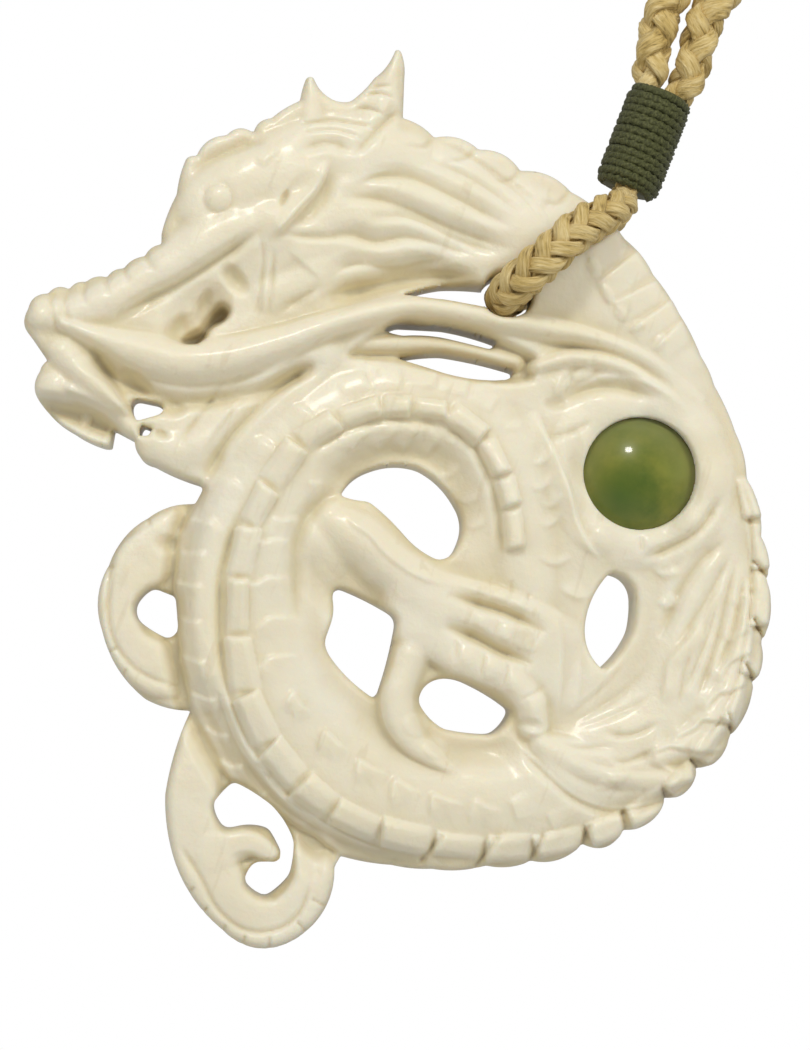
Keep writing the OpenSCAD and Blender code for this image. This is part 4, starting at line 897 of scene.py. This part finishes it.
# Plates along the coil's spine: lift, slope, then rows of (across, up, half width) at their ends
PLATE_RUNS = [
    (0.85, 0.7,
     [(7.2, -2.1, 0.7), (6.9, 0.7, 0.7), (6.3, 2.8, 0.75), (5.1, 5.3, 0.8), (2.8, 7.2, 0.75),
      (0.4, 7.5, 0.7), (-1.7, 7.5, 0.7), (-4.5, 6.5, 0.8), (-7.1, 4.9, 0.9), (-9.0, 2.1, 0.95),
      (-10.4, -0.5, 0.85), (-11.15, -3.9, 0.8), (-11.25, -7.7, 0.85), (-10.6, -11.5, 1.05),
      (-9.1, -14.9, 1.2), (-7.1, -17.4, 1.2), (-4.9, -19.1, 1.1), (-1.8, -20.6, 1.0), (1.7, -21.4, 0.95),
      (5.1, -21.8, 0.9), (8.3, -21.6, 0.9), (11.9, -20.9, 0.9), (14.6, -19.9, 0.9), (17.3, -18.2, 0.9),
      (19.5, -16.2, 0.9), (21.3, -13.7, 0.9), (22.8, -10.5, 0.8), (23.4, -7.2, 0.8), (23.7, -3.4, 0.8),
      (23.2, 0.0, 0.7), (22.4, 3.0, 0.5)]),
    (0.22, 0.8,
     [(6.0, 7.5, 0.7), (4.2, 8.6, 0.7), (2.1, 9.2, 0.7), (-0.2, 9.4, 0.75), (-2.5, 9.3, 0.75),
      (-4.6, 8.7, 0.7)]),
    # Shoulder
    (0.42, 0.85,
     [(13.0, 18.9, 1.5), (14.1, 17.1, 1.8), (15.2, 15.4, 1.9), (16.3, 13.9, 1.8), (17.3, 12.5, 1.6),
      (18.3, 11.1, 1.3)]),
]
SLOPES = [
    # depth, width over which it is reached, how far it goes on, fade at the ends, line to its left
    (0.95, 3.0, 5.4, 0.4,
     [(-4.6, 0.3), (-3.6, -0.6), (-2.5, -1.7), (-1.2, -2.9), (0.3, -3.8), (1.8, -4.4)]),
    (1.1, 1.7, 2.6, 0.12,
     [(-12.2, 1.6), (-13.2, -0.6), (-13.7, -3.5), (-13.8, -7.0), (-13.3, -10.5), (-12.2, -13.6),
      (-10.4, -16.8), (-8.0, -19.4)]),
    (0.75, 2.2, 3.2, 0.15,
     [(-7.0, 1.6), (-6.0, 3.8), (-4.0, 5.4), (-1.7, 6.3), (0.5, 6.3), (2.6, 5.8), (4.3, 4.3), (5.3, 2.3),
      (5.7, 0.4), (5.9, -2.5)]),
    (0.9, 1.5, 2.4, 0.2, [(-5.6, 16.0), (-3.3, 16.7), (-0.7, 17.3), (2.4, 17.4), (5.4, 17.0)]),
    (0.75, 0.9, 1.6, 0.12,
     [(-21.5, 11.6), (-19.3, 10.3), (-17.0, 9.2), (-14.7, 8.6), (-12.0, 8.8), (-9.5, 9.5), (-7.7, 10.3),
      (-5.7, 11.2)]),
    (1.6, 1.2, 2.4, 0.2, [(-24.4, 8.9), (-22.4, 8.1), (-20.0, 7.2), (-18.4, 6.7)]),
]
KNOBS = [
    # across, up, long half, short half, turn, height
    (-12.5, 21.2, 0.9, 0.85, 0, 0.45), (-24.1, 13.7, 1.2, 1.2, 0, 0.25), (-21.3, 6.6, 0.45, 0.45, 0, 0.4),
    (4.7, -4.7, 0.55, 0.45, 80, 0.14), (6.2, -5.1, 0.55, 0.45, 75, 0.14), (7.6, -5.7, 0.55, 0.45, 70, 0.14),
    (5.0, -6.8, 0.6, 0.5, 75, 0.14), (6.6, -7.5, 0.6, 0.5, 70, 0.14), (8.2, -8.3, 0.6, 0.5, 60, 0.14),
    (4.0, -9.0, 0.8, 0.6, 80, 0.12), (5.6, -9.9, 0.8, 0.6, 75, 0.12), (7.2, -10.8, 0.8, 0.6, 65, 0.12),
    (8.6, -12.2, 0.8, 0.6, 40, 0.12), (0.6, -13.6, 0.9, 0.8, 0, 0.22), (1.9, -15.1, 0.9, 0.75, 0, 0.22),
    (12.8, -1.6, 0.9, 0.9, 0, 0.15), (10.4, 9.0, 0.9, 0.4, 60, 0.25), (11.8, 9.7, 0.8, 0.4, 20, 0.22),
    (13.4, 9.6, 0.8, 0.4, -5, 0.2), (12.5, 16.8, 0.75, 0.45, -65, 0.22), (13.4, 15.0, 0.75, 0.4, -60, 0.24),
    (14.3, 13.7, 0.6, 0.4, -50, 0.2), (15.4, 12.9, 0.6, 0.35, 40, 0.2), (16.8, 11.8, 0.7, 0.35, 60, 0.2),
    (13.0, -17.5, 0.6, 0.4, 30, 0.15),
]
SCOOPS = [
    # across, up, long half, short half, turn, depth
    (-13.9, 13.7, 3.0, 1.8, 40, 0.75), (-14.6, 12.7, 1.6, 1.1, 20, 0.45), (-12.9, 14.3, 1.7, 1.1, 50, 0.45),
    (-11.4, 15.9, 1.35, 0.8, -52, 0.65), (-8.15, 21.2, 0.75, 0.3, 68, 0.45),
    (-12.5, 21.2, 1.4, 1.4, 0, 0.2), (-17.9, 9.0, 1.5, 0.8, -40, 0.7), (-15.6, 7.3, 1.2, 0.7, -5, 0.7),
    (-16.3, 5.6, 0.7, 0.4, -20, 0.4), (9.9, 7.7, 0.9, 0.55, 0, 0.30), (11.4, 3.4, 0.8, 3.2, 8, 0.4),
    (-15.9, -1.6, 0.9, 0.7, 0, 0.5), (-10.6, -22.3, 0.9, 0.5, 0, 0.3), (8.2, -13.6, 1.0, 0.5, -15, 0.5),
    (-21.5, 7.2, 2.4, 0.9, -25, 0.5), (-6.2, -22.0, 1.0, 2.2, 0, 0.45), (-15.1, 12.7, 1.3, 0.55, 75, 0.3),
    (-13.4, 14.3, 1.3, 0.55, 75, 0.3), (5.4, -15.6, 3.4, 1.5, -12, 0.35),
]
# Hand-cut unevenness: half its size in cells, depth, seed; and how far polishing has softened the edges
CHISEL_MARKS = [(4, 0.023, 3), (7, 0.032, 5), (13, 0.05, 8)]
POLISH = 0.3
# The coil's flank lies lower, outside the plates: by how much, how far out, width of the step, width over
# which it rises again, fade at the ends, line
SHELF = (1.0, 2.6, 0.5, 1.2, 0.12,
         [(-12.1, -10.2), (-11.6, -12.6), (-10.3, -15.5), (-8.1, -18.4), (-5.2, -20.2), (-2.0, -21.7),
          (1.7, -22.4)])


def bulged_edge(rows, steps=8):
    """The closed edge through rows whose sides bulge outward, as points in order."""
    points = []
    for a, b in zip(rows, rows[1:] + rows[:1]):
        start, run = np.array(a[:2]), np.array(b[:2]) - np.array(a[:2])
        out = np.array((-run[1], run[0])) / np.linalg.norm(run)
        t = np.arange(steps)[:, None] / steps
        points.append(start + run * t + out * 4 * a[2] * t * (1 - t))
    return np.vstack(points)


def worn(edge, reach, gap=0.05):
    """A closed edge with its corners worn round, evenly spaced points being averaged over this reach."""
    loop = np.vstack([edge, edge[:1]])
    along = run_along(loop)
    wanted = np.linspace(0, along[-1], int(along[-1] / gap), endpoint=False)
    even = np.stack([np.interp(wanted, along, loop[:, k]) for k in (0, 1)], 1)
    shifts = range(-round(reach / gap), round(reach / gap) + 1)
    return sum(np.roll(even, shift, axis=0) for shift in shifts) / len(shifts)


def round_end(x, y, reach, radius, sides=48):
    """The rounded box of the slot's end, as points in order."""
    a = np.linspace(0, 2 * math.pi, sides, endpoint=False)
    return np.stack([x + np.sign(np.cos(a)) * reach + radius * np.cos(a), y + radius * np.sin(a)], 1)


bone_edges = [worn(bulged_edge(OUTLINE_ROWS), OUTLINE_WEAR)]
for rows in GAPS.values():
    edge = bulged_edge(rows)
    bone_edges.append(worn(edge, min(GAP_WEAR, GAP_WEAR_SHARE * np.ptp(edge, axis=0).min())))
bone_edges.append(round_end(*SLOT_END))
edge_rounding = [OUTLINE_ROUNDING] + [GAP_ROUNDING] * (len(bone_edges) - 1)
lowest, highest = bone_edges[0].min(0) - 2 * CELL, bone_edges[0].max(0) + 2 * CELL
columns, rows_up = (int(v) for v in np.ceil((highest - lowest) / CELL))
across_axis = lowest[0] + np.arange(columns + 1) * CELL
up_axis = lowest[1] + np.arange(rows_up + 1) * CELL
U, V = np.meshgrid(across_axis, up_axis)


def inside(edge):
    """True where the sheet's points lie inside a closed edge."""
    ends = np.roll(edge, -1, axis=0)
    found = np.zeros(U.shape, bool)
    for row, v in enumerate(up_axis):
        crosses = (edge[:, 1] <= v) != (ends[:, 1] <= v)
        a, b = edge[crosses], ends[crosses]
        hits = np.sort(a[:, 0] + (v - a[:, 1]) / (b[:, 1] - a[:, 1]) * (b[:, 0] - a[:, 0]))
        found[row] = np.searchsorted(hits, across_axis) % 2 == 1
    return found


kept = inside(bone_edges[0])
for gap_edge in bone_edges[1:]:
    kept &= ~inside(gap_edge)

# How far each point lies from the nearest edge, and that edge's nearest place
edge_far = np.full(U.shape, EDGE_REACH)
edge_u, edge_v = U.copy(), V.copy()
rounding = np.full(U.shape, GAP_ROUNDING)
reach_cells = int(EDGE_REACH / CELL) + 1
for edge, round_by in zip(bone_edges, edge_rounding):
    loop = np.vstack([edge, edge[:1]])
    along_edge = run_along(loop)
    wanted = np.linspace(0, along_edge[-1], int(along_edge[-1] / (CELL * EDGE_STEP)))
    for u, v in zip(np.interp(wanted, along_edge, loop[:, 0]), np.interp(wanted, along_edge, loop[:, 1])):
        c, r = int((u - lowest[0]) / CELL), int((v - lowest[1]) / CELL)
        near = (slice(max(r - reach_cells, 0), r + reach_cells + 1),
                slice(max(c - reach_cells, 0), c + reach_cells + 1))
        far = np.hypot(U[near] - u, V[near] - v)
        nearer = far < edge_far[near]
        edge_far[near][nearer] = far[nearer]
        edge_u[near][nearer] = u
        edge_v[near][nearer] = v
        rounding[near][nearer] = round_by
on_edge = edge_far < SNAP * CELL
U[on_edge], V[on_edge] = edge_u[on_edge], edge_v[on_edge]
edge_far[on_edge] = 0

# The stone's socket is cut to a clean circle
from_stone = np.hypot(U - STONE_AT[0], V - STONE_AT[1])
on_rim = np.abs(from_stone - SOCKET_RADIUS) < SNAP * CELL
for axis, middle in ((U, STONE_AT[0]), (V, STONE_AT[1])):
    axis[on_rim] = middle + (axis[on_rim] - middle) * SOCKET_RADIUS / from_stone[on_rim]
from_stone[on_rim] = SOCKET_RADIUS


def field(rows, reach, steps=6):
    """Where the sheet's points lie by a smooth line: the window that it touches, the nearest place of the
    line as a share of its length, the distance to its left, and the rest of its rows there."""
    line = smooth(rows, steps)
    flat = line[:, :2]
    low, high = flat.min(0) - reach, flat.max(0) + reach
    window = (slice(*np.searchsorted(up_axis, (low[1], high[1]))),
              slice(*np.searchsorted(across_axis, (low[0], high[0]))))
    u, v = U[window], V[window]
    best = np.full(u.shape, np.inf)
    left, place = np.zeros(u.shape), np.zeros(u.shape)
    for i, (a, b) in enumerate(zip(flat[:-1], flat[1:])):
        run = b - a
        size = math.hypot(*run) + TINY
        t = np.clip(((u - a[0]) * run[0] + (v - a[1]) * run[1]) / size**2, 0, 1)
        du, dv = u - a[0] - run[0] * t, v - a[1] - run[1] * t
        far = du * du + dv * dv
        nearer = far < best
        best[nearer] = far[nearer]
        left[nearer] = np.sign(run[0] * dv - run[1] * du)[nearer]
        place[nearer] = (i + t)[nearer]
    lengths = run_along(flat)
    share = np.interp(place, np.arange(len(flat)), lengths / lengths[-1])
    extra = [np.interp(place, np.arange(len(flat)), line[:, k]) for k in range(2, line.shape[1])]
    return window, share, left * np.sqrt(best), extra


def soft_max(a, b, k=CREASE):
    """The larger of two heights, with the crease between them rounded."""
    return np.maximum(a, b) + k / 4 * np.clip(1 - np.abs(a - b) / k, 0, 1) ** 2


def blurred(surface, cells):
    """The surface averaged over a square window of this many cells to each side, three times over."""
    wide = 2 * cells + 1
    for axis in (0, 1, 0, 1, 0, 1):
        margins = [(cells + 1, cells) if k == axis else (0, 0) for k in (0, 1)]
        total = np.cumsum(np.pad(surface, margins, "edge"), axis)
        end = total.shape[axis]
        surface = (np.take(total, np.arange(wide, end), axis)
                   - np.take(total, np.arange(0, end - wide), axis)) / wide
    return surface


height = np.full(U.shape, PLATEAU)
for level, corners in LOW_AREAS.values():
    height[inside(bulged_edge(corners))] = level
height = blurred(height, 1)


def raise_ridge(rows, fullness=2.0):
    """Raises a domed form along rows of (across, up, half width, crest height)."""
    window, _, left, (half, crest) = field(rows, max(r[2] for r in rows))
    dome = crest * np.clip(1 - np.abs(left / half) ** fullness, 0, 1) ** (1 / fullness)
    height[window] = soft_max(height[window], dome)


def raise_horn(root_u, root_v, tip_u, tip_v, half, crest):
    """Raises one tapering horn."""
    raise_ridge([(root_u, root_v, half, crest), (tip_u, tip_v, half * HORN_TIP[0], crest * HORN_TIP[1])])


def ends_fade(share, fade):
    """Full in the middle of a line, and nothing at its ends."""
    return np.clip(np.minimum(share, 1 - share) / fade, 0, 1) if fade else np.ones_like(share)


def cut_groove(half, depth, fade, steep, line):
    """Cuts a groove. A steep of 1 makes its right wall upright and leaves the left one soft."""
    window, share, left, _ = field(line, half)
    side = np.where(left < 0, np.abs(left) / (half * (1 - UPRIGHT_WALL * steep)), left / half)
    height[window] -= depth * np.clip(1 - side, 0, 1) ** GROOVE_POINT * ends_fade(share, fade)


def raise_lip(lift, soft, fade, line):
    """Raises the ground to the left of a line, falling off softly there and sharply to the right."""
    window, share, left, _ = field(line, soft * LIP_REACH)
    side = np.clip(left / LIP_EDGE * 0.5 + 0.5, 0, 1)
    height[window] += lift * side * np.exp(-np.clip(left, 0, None) / soft) * ends_fade(share, fade)


def round_spot(u, v, long_half, short_half, turn):
    """How far the sheet's points lie from a turned oval's middle, 1 being its edge."""
    c, s = math.cos(math.radians(turn)), math.sin(math.radians(turn))
    along, across = (U - u) * c + (V - v) * s, (V - v) * c - (U - u) * s
    return np.hypot(along / long_half, across / short_half)


def scoop(u, v, long_half, short_half, turn, depth):
    """Scoops out an oval hollow."""
    inner = np.clip(1 - round_spot(u, v, long_half, short_half, turn) ** 2, 0, 1)
    height[...] -= depth * inner**SCOOP_POINT


def raise_knob(u, v, long_half, short_half, turn, lift):
    """Raises a small oval knob."""
    height[...] += lift * np.sqrt(np.clip(1 - round_spot(u, v, long_half, short_half, turn) ** 2, 0, 1))


def varied(i, how):
    """By how much plate i of a run differs from a plain one."""
    most, pace, start = how
    return most * math.sin(i * pace + start)


def raise_plates(lift, slope, rows):
    """Raises a run of plates, each between two rows of (across, up, half width). A plate stands highest at
    its first end, where it has a square step, and slopes down to the next one. No two are quite alike."""
    for i, ((u0, v0, half0), (u1, v1, half1)) in enumerate(zip(rows, rows[1:])):
        run = math.hypot(u1 - u0, v1 - v0)
        along = ((U - u0) * (u1 - u0) + (V - v0) * (v1 - v0)) / run
        across = ((V - v0) * (u1 - u0) - (U - u0) * (v1 - v0)) / run - varied(i, PLATE_SHIFT)
        half = (half0 + (half1 - half0) * np.clip(along / run, 0, 1)) * (1 + varied(i, PLATE_WIDTH))
        along = along + across * varied(i, PLATE_SKEW)
        body = np.clip((along - PLATE_START) / PLATE_RISE, 0, 1) * np.clip((run - along) / PLATE_FALL, 0, 1)
        body *= np.sqrt(np.clip((half - np.abs(across)) / (half * PLATE_SIDE), 0, 1))
        body *= 1 - slope * np.clip(along / run, 0, 1)
        height[...] += lift * (1 + varied(i, PLATE_LIFT)) * body


def cut_slope(depth, width, reach, fade, line):
    """Lowers the ground to the right of a line, more and more up to this width."""
    window, share, left, _ = field(line, reach)
    run = np.clip(-left / width, 0, 1)
    rest = np.clip((reach + left) / (reach - width + SLOPE_MARGIN), 0, 1)
    height[window] -= depth * run * run * (3 - 2 * run) * rest * ends_fade(share, fade)


for rows in FLAT_RIDGES.values():
    raise_ridge(rows, FLATNESS)
for rows in list(RIDGES.values()) + LEAVES:
    raise_ridge(rows)
for row in HORNS:
    raise_horn(*row)
inner, outer, mound = PAW_MOUND
round_stone = np.arctan2(V - STONE_AT[1], U - STONE_AT[0])
mound_share = np.clip((from_stone - inner) / (outer - inner), 0, 1)
knuckles = sum((most * np.cos(count * round_stone + start) for most, count, start in MOUND_WAVES), 1)
mound_crest = np.sin(math.pi * mound_share**MOUND_INWARD)
height += mound * knuckles * mound_crest * (MOUND_SIDES - MOUND_TILT * np.sin(round_stone))
shelf_drop, shelf_reach, shelf_step, shelf_rise, shelf_fade, shelf_line = SHELF
window, share, left, _ = field(shelf_line, shelf_reach)
shelf = np.clip(-left / shelf_step, 0, 1) * np.clip((shelf_reach - np.abs(left)) / shelf_rise, 0, 1)
height[window] -= shelf_drop * shelf * ends_fade(share, shelf_fade)
for lift, slope, rows in PLATE_RUNS:
    raise_plates(lift, slope, rows)
for lift, soft, fade, *lines in LIPS:
    for line in lines:
        raise_lip(lift, soft, fade, line)
for row in SLOPES:
    cut_slope(*row)
for half, depth, fade, steep, *lines in GROOVES:
    for line in lines:
        cut_groove(half, depth, fade, steep, line)
for row in KNOBS:
    raise_knob(*row)
for row in SCOOPS:
    scoop(*row)
height += (blurred(height, 1) - height) * POLISH
for cells, depth, seed in CHISEL_MARKS:
    marks = blurred(np.random.default_rng(seed).standard_normal(height.shape), cells)
    height += marks * depth / marks.std()
height = np.maximum(height, LEAST_HEIGHT)
pit_floor, pit_corners = MOUTH_PIT
pit = blurred(inside(bulged_edge(pit_corners)).astype(float), 1)
height += (pit_floor - height) * pit

# The edges are rounded, and the socket is sunk
near_edge = np.clip(1 - edge_far / rounding, 0, 1)
front = height - rounding * (1 - np.sqrt(1 - near_edge**2))
front[from_stone < SOCKET_RADIUS] = SOCKET_FLOOR


def hollowness(surface, cells):
    """How far the surface lies below its own blurred copy, in millimetres."""
    around = blurred(surface * kept, cells) / (blurred(kept.astype(float), cells) + LEAST_SHARE)
    return np.clip(around - surface, -1, 1)


# How far each point lies down in a fine groove. The bone's colour is tinted there with brown stain and
# painted shade.
hollow = hollowness(height, FINE_CELLS)
# How far each point lies below the broad run of the surface. The bone's colour is darkened there as painted
# shade.
low = hollowness(height, BROAD_CELLS)

sheet, bone_data, column, row = flat_grid("carved_bone", columns, rows_up)
front_points = np.stack([U[row, column], V[row, column], front[row, column]], 1)
bone_data.vertices.foreach_set("co", front_points.ravel())
for name, values in (("hollow", hollow), ("low", low), ("edge", edge_far)):
    layer = bone_data.attributes.new(name, "FLOAT", "POINT")
    layer.data.foreach_set("value", values[row, column])
cell_corners = face_corners(bone_data).reshape(-1, 4)
edge_corner = on_edge[row, column][cell_corners]
kept_corner = (kept & ~on_edge)[row, column][cell_corners]
out_corner = ~edge_corner & ~kept_corner
sheet.clear()
sheet.from_mesh(bone_data)
sheet_verts, sheet_faces = sheet.verts[:], sheet.faces[:]
# A square with one corner in, one out and two on the edge is cut along the edge
for face in np.flatnonzero((edge_corner.sum(1) == 2) & (kept_corner.sum(1) == 1) & (out_corner.sum(1) == 1)):
    a, b = (sheet_verts[i] for i in cell_corners[face][edge_corner[face]])
    if not any(a in edge.verts for edge in b.link_edges):
        bmesh.utils.face_split(sheet_faces[face], a, b)
outside = [sheet_verts[i] for i in np.flatnonzero(~(kept | on_edge)[row, column])]
# A square with all its corners on the edge stays where two of them or more lie within the bone
all_edge = np.flatnonzero(edge_corner.all(1))
first_column = column[cell_corners[all_edge]].min(1)
first_row = row[cell_corners[all_edge]].min(1)
doomed = [sheet_faces[i] for i, r, c in zip(all_edge, first_row, first_column)
          if kept[r:r + 2, c:c + 2].sum() < 2]
bmesh.ops.delete(sheet, geom=doomed, context="FACES_ONLY")
bmesh.ops.delete(sheet, geom=outside, context="VERTS")
bmesh.ops.delete(sheet, geom=[v for v in sheet.verts if not v.link_faces], context="VERTS")
bmesh.ops.remove_doubles(sheet, verts=sheet.verts[:], dist=CELL * SHEET_WELD)

# The back is the same sheet turned round, and the wall joins the two
edge_layer = sheet.verts.layers.float["edge"]
rim = [e for e in sheet.edges if e.is_boundary]
back = bmesh.ops.duplicate(sheet, geom=sheet.verts[:] + sheet.edges[:] + sheet.faces[:])
back_faces = [g for g in back["geom"] if isinstance(g, bmesh.types.BMFace)]
bmesh.ops.reverse_faces(sheet, faces=back_faces)
for g in back["geom"]:
    if isinstance(g, bmesh.types.BMVert):
        near = max(0.0, 1 - g[edge_layer] / BACK_ROUNDING)
        g.co.z = -BACK_DEPTH + BACK_ROUNDING * (1 - math.sqrt(1 - near * near))
for step in range(1, WALL_STEPS + 1):
    grown = bmesh.ops.extrude_edge_only(sheet, edges=rim)
    rim = [g for g in grown["geom"] if isinstance(g, bmesh.types.BMEdge)]
    for vert in {v for e in rim for v in e.verts}:
        vert.co.z += (-BACK_DEPTH + BACK_ROUNDING - vert.co.z) / (WALL_STEPS + 1 - step)
bmesh.ops.remove_doubles(sheet, verts=sheet.verts[:], dist=CELL * WALL_WELD)
bmesh.ops.recalc_face_normals(sheet, faces=sheet.faces[:])
# The wall's edges, their ends and its faces come in no fixed order. All are put in that of their points'
# numbers, so that the sheet is thinned to the same mesh each run.
sheet.verts.index_update()
highest_sum = MOST_CORNERS * len(sheet.verts)


def point_order(part):
    """A number that puts an edge or a face in order of its points' numbers."""
    numbers = [v.index for v in part.verts]
    return min(numbers) * highest_sum + sum(numbers)


sheet.edges.sort(key=point_order)
sheet.faces.sort(key=point_order)
sheet.to_mesh(bone_data)
sheet.free()
edge_ends = np.zeros(len(bone_data.edges) * 2, int)
bone_data.edges.foreach_get("vertices", edge_ends)
bone_data.edges.foreach_set("vertices", np.sort(edge_ends.reshape(-1, 2), 1).ravel())
bone = bpy.data.objects.new("carved_bone", bone_data)
bpy.context.scene.collection.objects.link(bone)
thin = bone.modifiers.new("thin", "DECIMATE")
triangle_count = sum(len(p.vertices) - 2 for p in bone_data.polygons)
thin.ratio = min(1.0, BONE_TRIANGLES / triangle_count)
bpy.context.view_layer.update()
thinned = bpy.data.meshes.new_from_object(bone.evaluated_get(bpy.context.evaluated_depsgraph_get()))
bone.modifiers.clear()
bone.data = thinned
thinned.name = "carved_bone"
place = np.zeros(len(thinned.vertices) * 3)
thinned.vertices.foreach_get("co", place)
thinned.vertices.foreach_set("co", hung(place.reshape(-1, 3)).ravel())
thinned.shade_smooth()
thinned.update()

# Polished bone: cream, warm brown stain with painted shade where the cutter left grooves, painted shade over
# the low areas, and fine vessel lines along the bone's length
BONE_CREAM = (0.84, 0.775, 0.595, 1)
BONE_PALE = (0.87, 0.84, 0.72, 1)
BONE_YELLOW = (0.76, 0.675, 0.44, 1)
LOW_AREA_SHADE_TAN = (0.68, 0.585, 0.385, 1)
GROOVE_BROWN = (0.47, 0.375, 0.215, 1)
VESSEL_BROWN = (0.58, 0.48, 0.29, 1)
# Noise: scale per metre, detail, stretch, values where it begins to show and shows fully, most, colour
BONE_MOTTLES = [
    (90, 3, (1, 1, 1), 0.42, 0.66, 0.45, BONE_PALE),
    (150, 4, (1, 1, 1), 0.5, 0.7, 0.22, BONE_YELLOW),
    (900, 2, (1, 1, 0.12), 0.62, 0.7, 0.22, VESSEL_BROWN),
]
# Painted shade in the low areas, and stain with painted shade in the grooves: the value stored on the mesh,
# where it begins to show and where it shows fully, most, colour
HOLLOW_STAIN_AND_SHADE = [
    # Painted shade over the broad low areas
    ("low", 0.05, 0.6, 0.8, LOW_AREA_SHADE_TAN),
    ("hollow", 0.01, 0.22, 0.85, BONE_YELLOW),
    ("hollow", 0.22, 0.8, 0.8, GROOVE_BROWN),
]
MOTTLE_ROUGHNESS = 0.6
GLOSS_NOISE = (420, 3)
MARK_NOISE = (1100, 3)

polished_bone, tree, surface = new_finish("polished_bone", {
    "Specular IOR Level": 0.5, "Subsurface Weight": 0.55, "Subsurface Radius": (1.0, 0.72, 0.42),
    "Subsurface Scale": 0.0012, "Coat Weight": 0.2, "Coat Roughness": 0.15})
bone_place = add_node(tree, "TexCoord").outputs["Object"]


def mottling(tree, place, scale, detail, stretch=(1, 1, 1)):
    """Noise over a piece at this scale per metre, turned as the carving hangs."""
    lie = add_node(tree, "Mapping", {"Scale": stretch, "Rotation": (0, HANG_TILT, 0)})
    noise = add_node(tree, "TexNoise", {"Scale": scale, "Detail": detail, "Roughness": MOTTLE_ROUGHNESS})
    link_chain(tree, place, lie.inputs["Vector"], lie.outputs["Vector"], noise.inputs["Vector"])
    return noise.outputs["Fac"]


def part_of(tree, value, start, full, most):
    """Turns a value between start and full into an amount between 0 and most."""
    ranged = add_node(tree, "MapRange", {"From Min": start, "From Max": full, "To Max": most})
    tree.links.new(value, ranged.inputs["Value"])
    return ranged.outputs["Result"]


def colour_layer(tree, under, amount, over):
    """Lays one colour over another by an amount. A colour is plain or comes from a node."""
    layer = add_node(tree, "Mix")
    layer.data_type = "RGBA"
    for socket, value in (("Factor", amount), ("A", under), ("B", over)):
        if isinstance(value, tuple):
            layer.inputs[socket].default_value = value
        else:
            tree.links.new(value, layer.inputs[socket])
    return layer.outputs["Result"]


def mottled(tree, place, colour, mottles):
    """A colour with mottles laid over it, one after another."""
    for scale, detail, stretch, start, full, most, spots in mottles:
        amount = part_of(tree, mottling(tree, place, scale, detail, stretch), start, full, most)
        colour = colour_layer(tree, colour, amount, spots)
    return colour


bone_colour = mottled(tree, bone_place, BONE_CREAM, BONE_MOTTLES)
# The low areas are darkened as painted shade, and the grooves get stain with painted shade.
for name, start, full, most, stain_and_shade in HOLLOW_STAIN_AND_SHADE:
    stored = add_node(tree, "Attribute")
    stored.attribute_name = name
    amount = part_of(tree, stored.outputs["Fac"], start, full, most)
    bone_colour = colour_layer(tree, bone_colour, amount, stain_and_shade)
bone_gloss = add_node(tree, "MapRange", {"To Min": 0.34, "To Max": 0.55})
cutter_marks = add_node(tree, "Bump", {"Strength": 0.8, "Distance": 0.00012})
link_chain(
    tree, bone_colour, surface.inputs["Base Color"],
    mottling(tree, bone_place, *GLOSS_NOISE), bone_gloss.inputs["Value"],
    bone_gloss.outputs["Result"], surface.inputs["Roughness"],
    mottling(tree, bone_place, *MARK_NOISE), cutter_marks.inputs["Height"],
    cutter_marks.outputs["Normal"], surface.inputs["Normal"])
thinned.materials.clear()
thinned.materials.append(polished_bone)
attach(bone, "root")
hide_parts("carved_dragon")

# Jade stone.
# A round cabochon of translucent green jade, cut flat below and domed above, held in its socket by the bone.
# The CAD shape is right, so it only gets the polished stone's finish.
JADE_DEEP = (0.10, 0.145, 0.016, 1)
JADE_GREEN = (0.25, 0.25, 0.036, 1)
JADE_YELLOW = (0.26, 0.28, 0.05, 1)
JADE_RIM = (0.19, 0.21, 0.075, 1)
JADE_SHADE = (0.075, 0.13, 0.008, 1)
JADE_MOTTLES = [
    (260, 5, (1, 1, 1), 0.36, 0.62, 0.9, JADE_GREEN),
    (330, 2, (1, 1, 1), 0.55, 0.72, 0.6, JADE_YELLOW),
]
# The paler rim and the darker patch: the middle they are measured from, counted from the stone's own in
# millimetres, then the distances from it in metres between which the change takes place, and its most
JADE_RIM_REACH = ((-0.3, -0.9, 2.0), 0.0024, 0.0046, 0.85)
JADE_PATCH_REACH = ((-1.3, -1.5, 2.5), 0.0004, 0.0026, 1.0)


def away_from(tree, place, reach):
    """An amount that grows with the distance from a point by the stone's middle."""
    (across, up, forward), start, full, most = reach
    distance = add_node(tree, "VectorMath")
    distance.operation = "DISTANCE"
    distance.inputs[1].default_value = hung((STONE_AT[0] + across, STONE_AT[1] + up, forward))
    tree.links.new(place, distance.inputs[0])
    return part_of(tree, distance.outputs["Value"], start, full, most)


polished_jade, tree, surface = new_finish("polished_jade", {
    "Roughness": 0.32, "IOR": 1.62, "Specular IOR Level": 0.2, "Subsurface Weight": 0.35,
    "Subsurface Radius": (0.5, 1.0, 0.3), "Subsurface Scale": 0.0012, "Coat Weight": 0.45,
    "Coat Roughness": 0.07})
jade_place = add_node(tree, "TexCoord").outputs["Object"]
jade_colour = mottled(tree, jade_place, JADE_DEEP, JADE_MOTTLES)
jade_colour = colour_layer(tree, jade_colour, away_from(tree, jade_place, JADE_RIM_REACH), JADE_RIM)
jade_colour = colour_layer(tree, JADE_SHADE, away_from(tree, jade_place, JADE_PATCH_REACH), jade_colour)
tree.links.new(jade_colour, surface.inputs["Base Color"])
stone = bpy.data.objects["jade_stone"]
stone.data.materials.clear()
stone.data.materials.append(polished_jade)
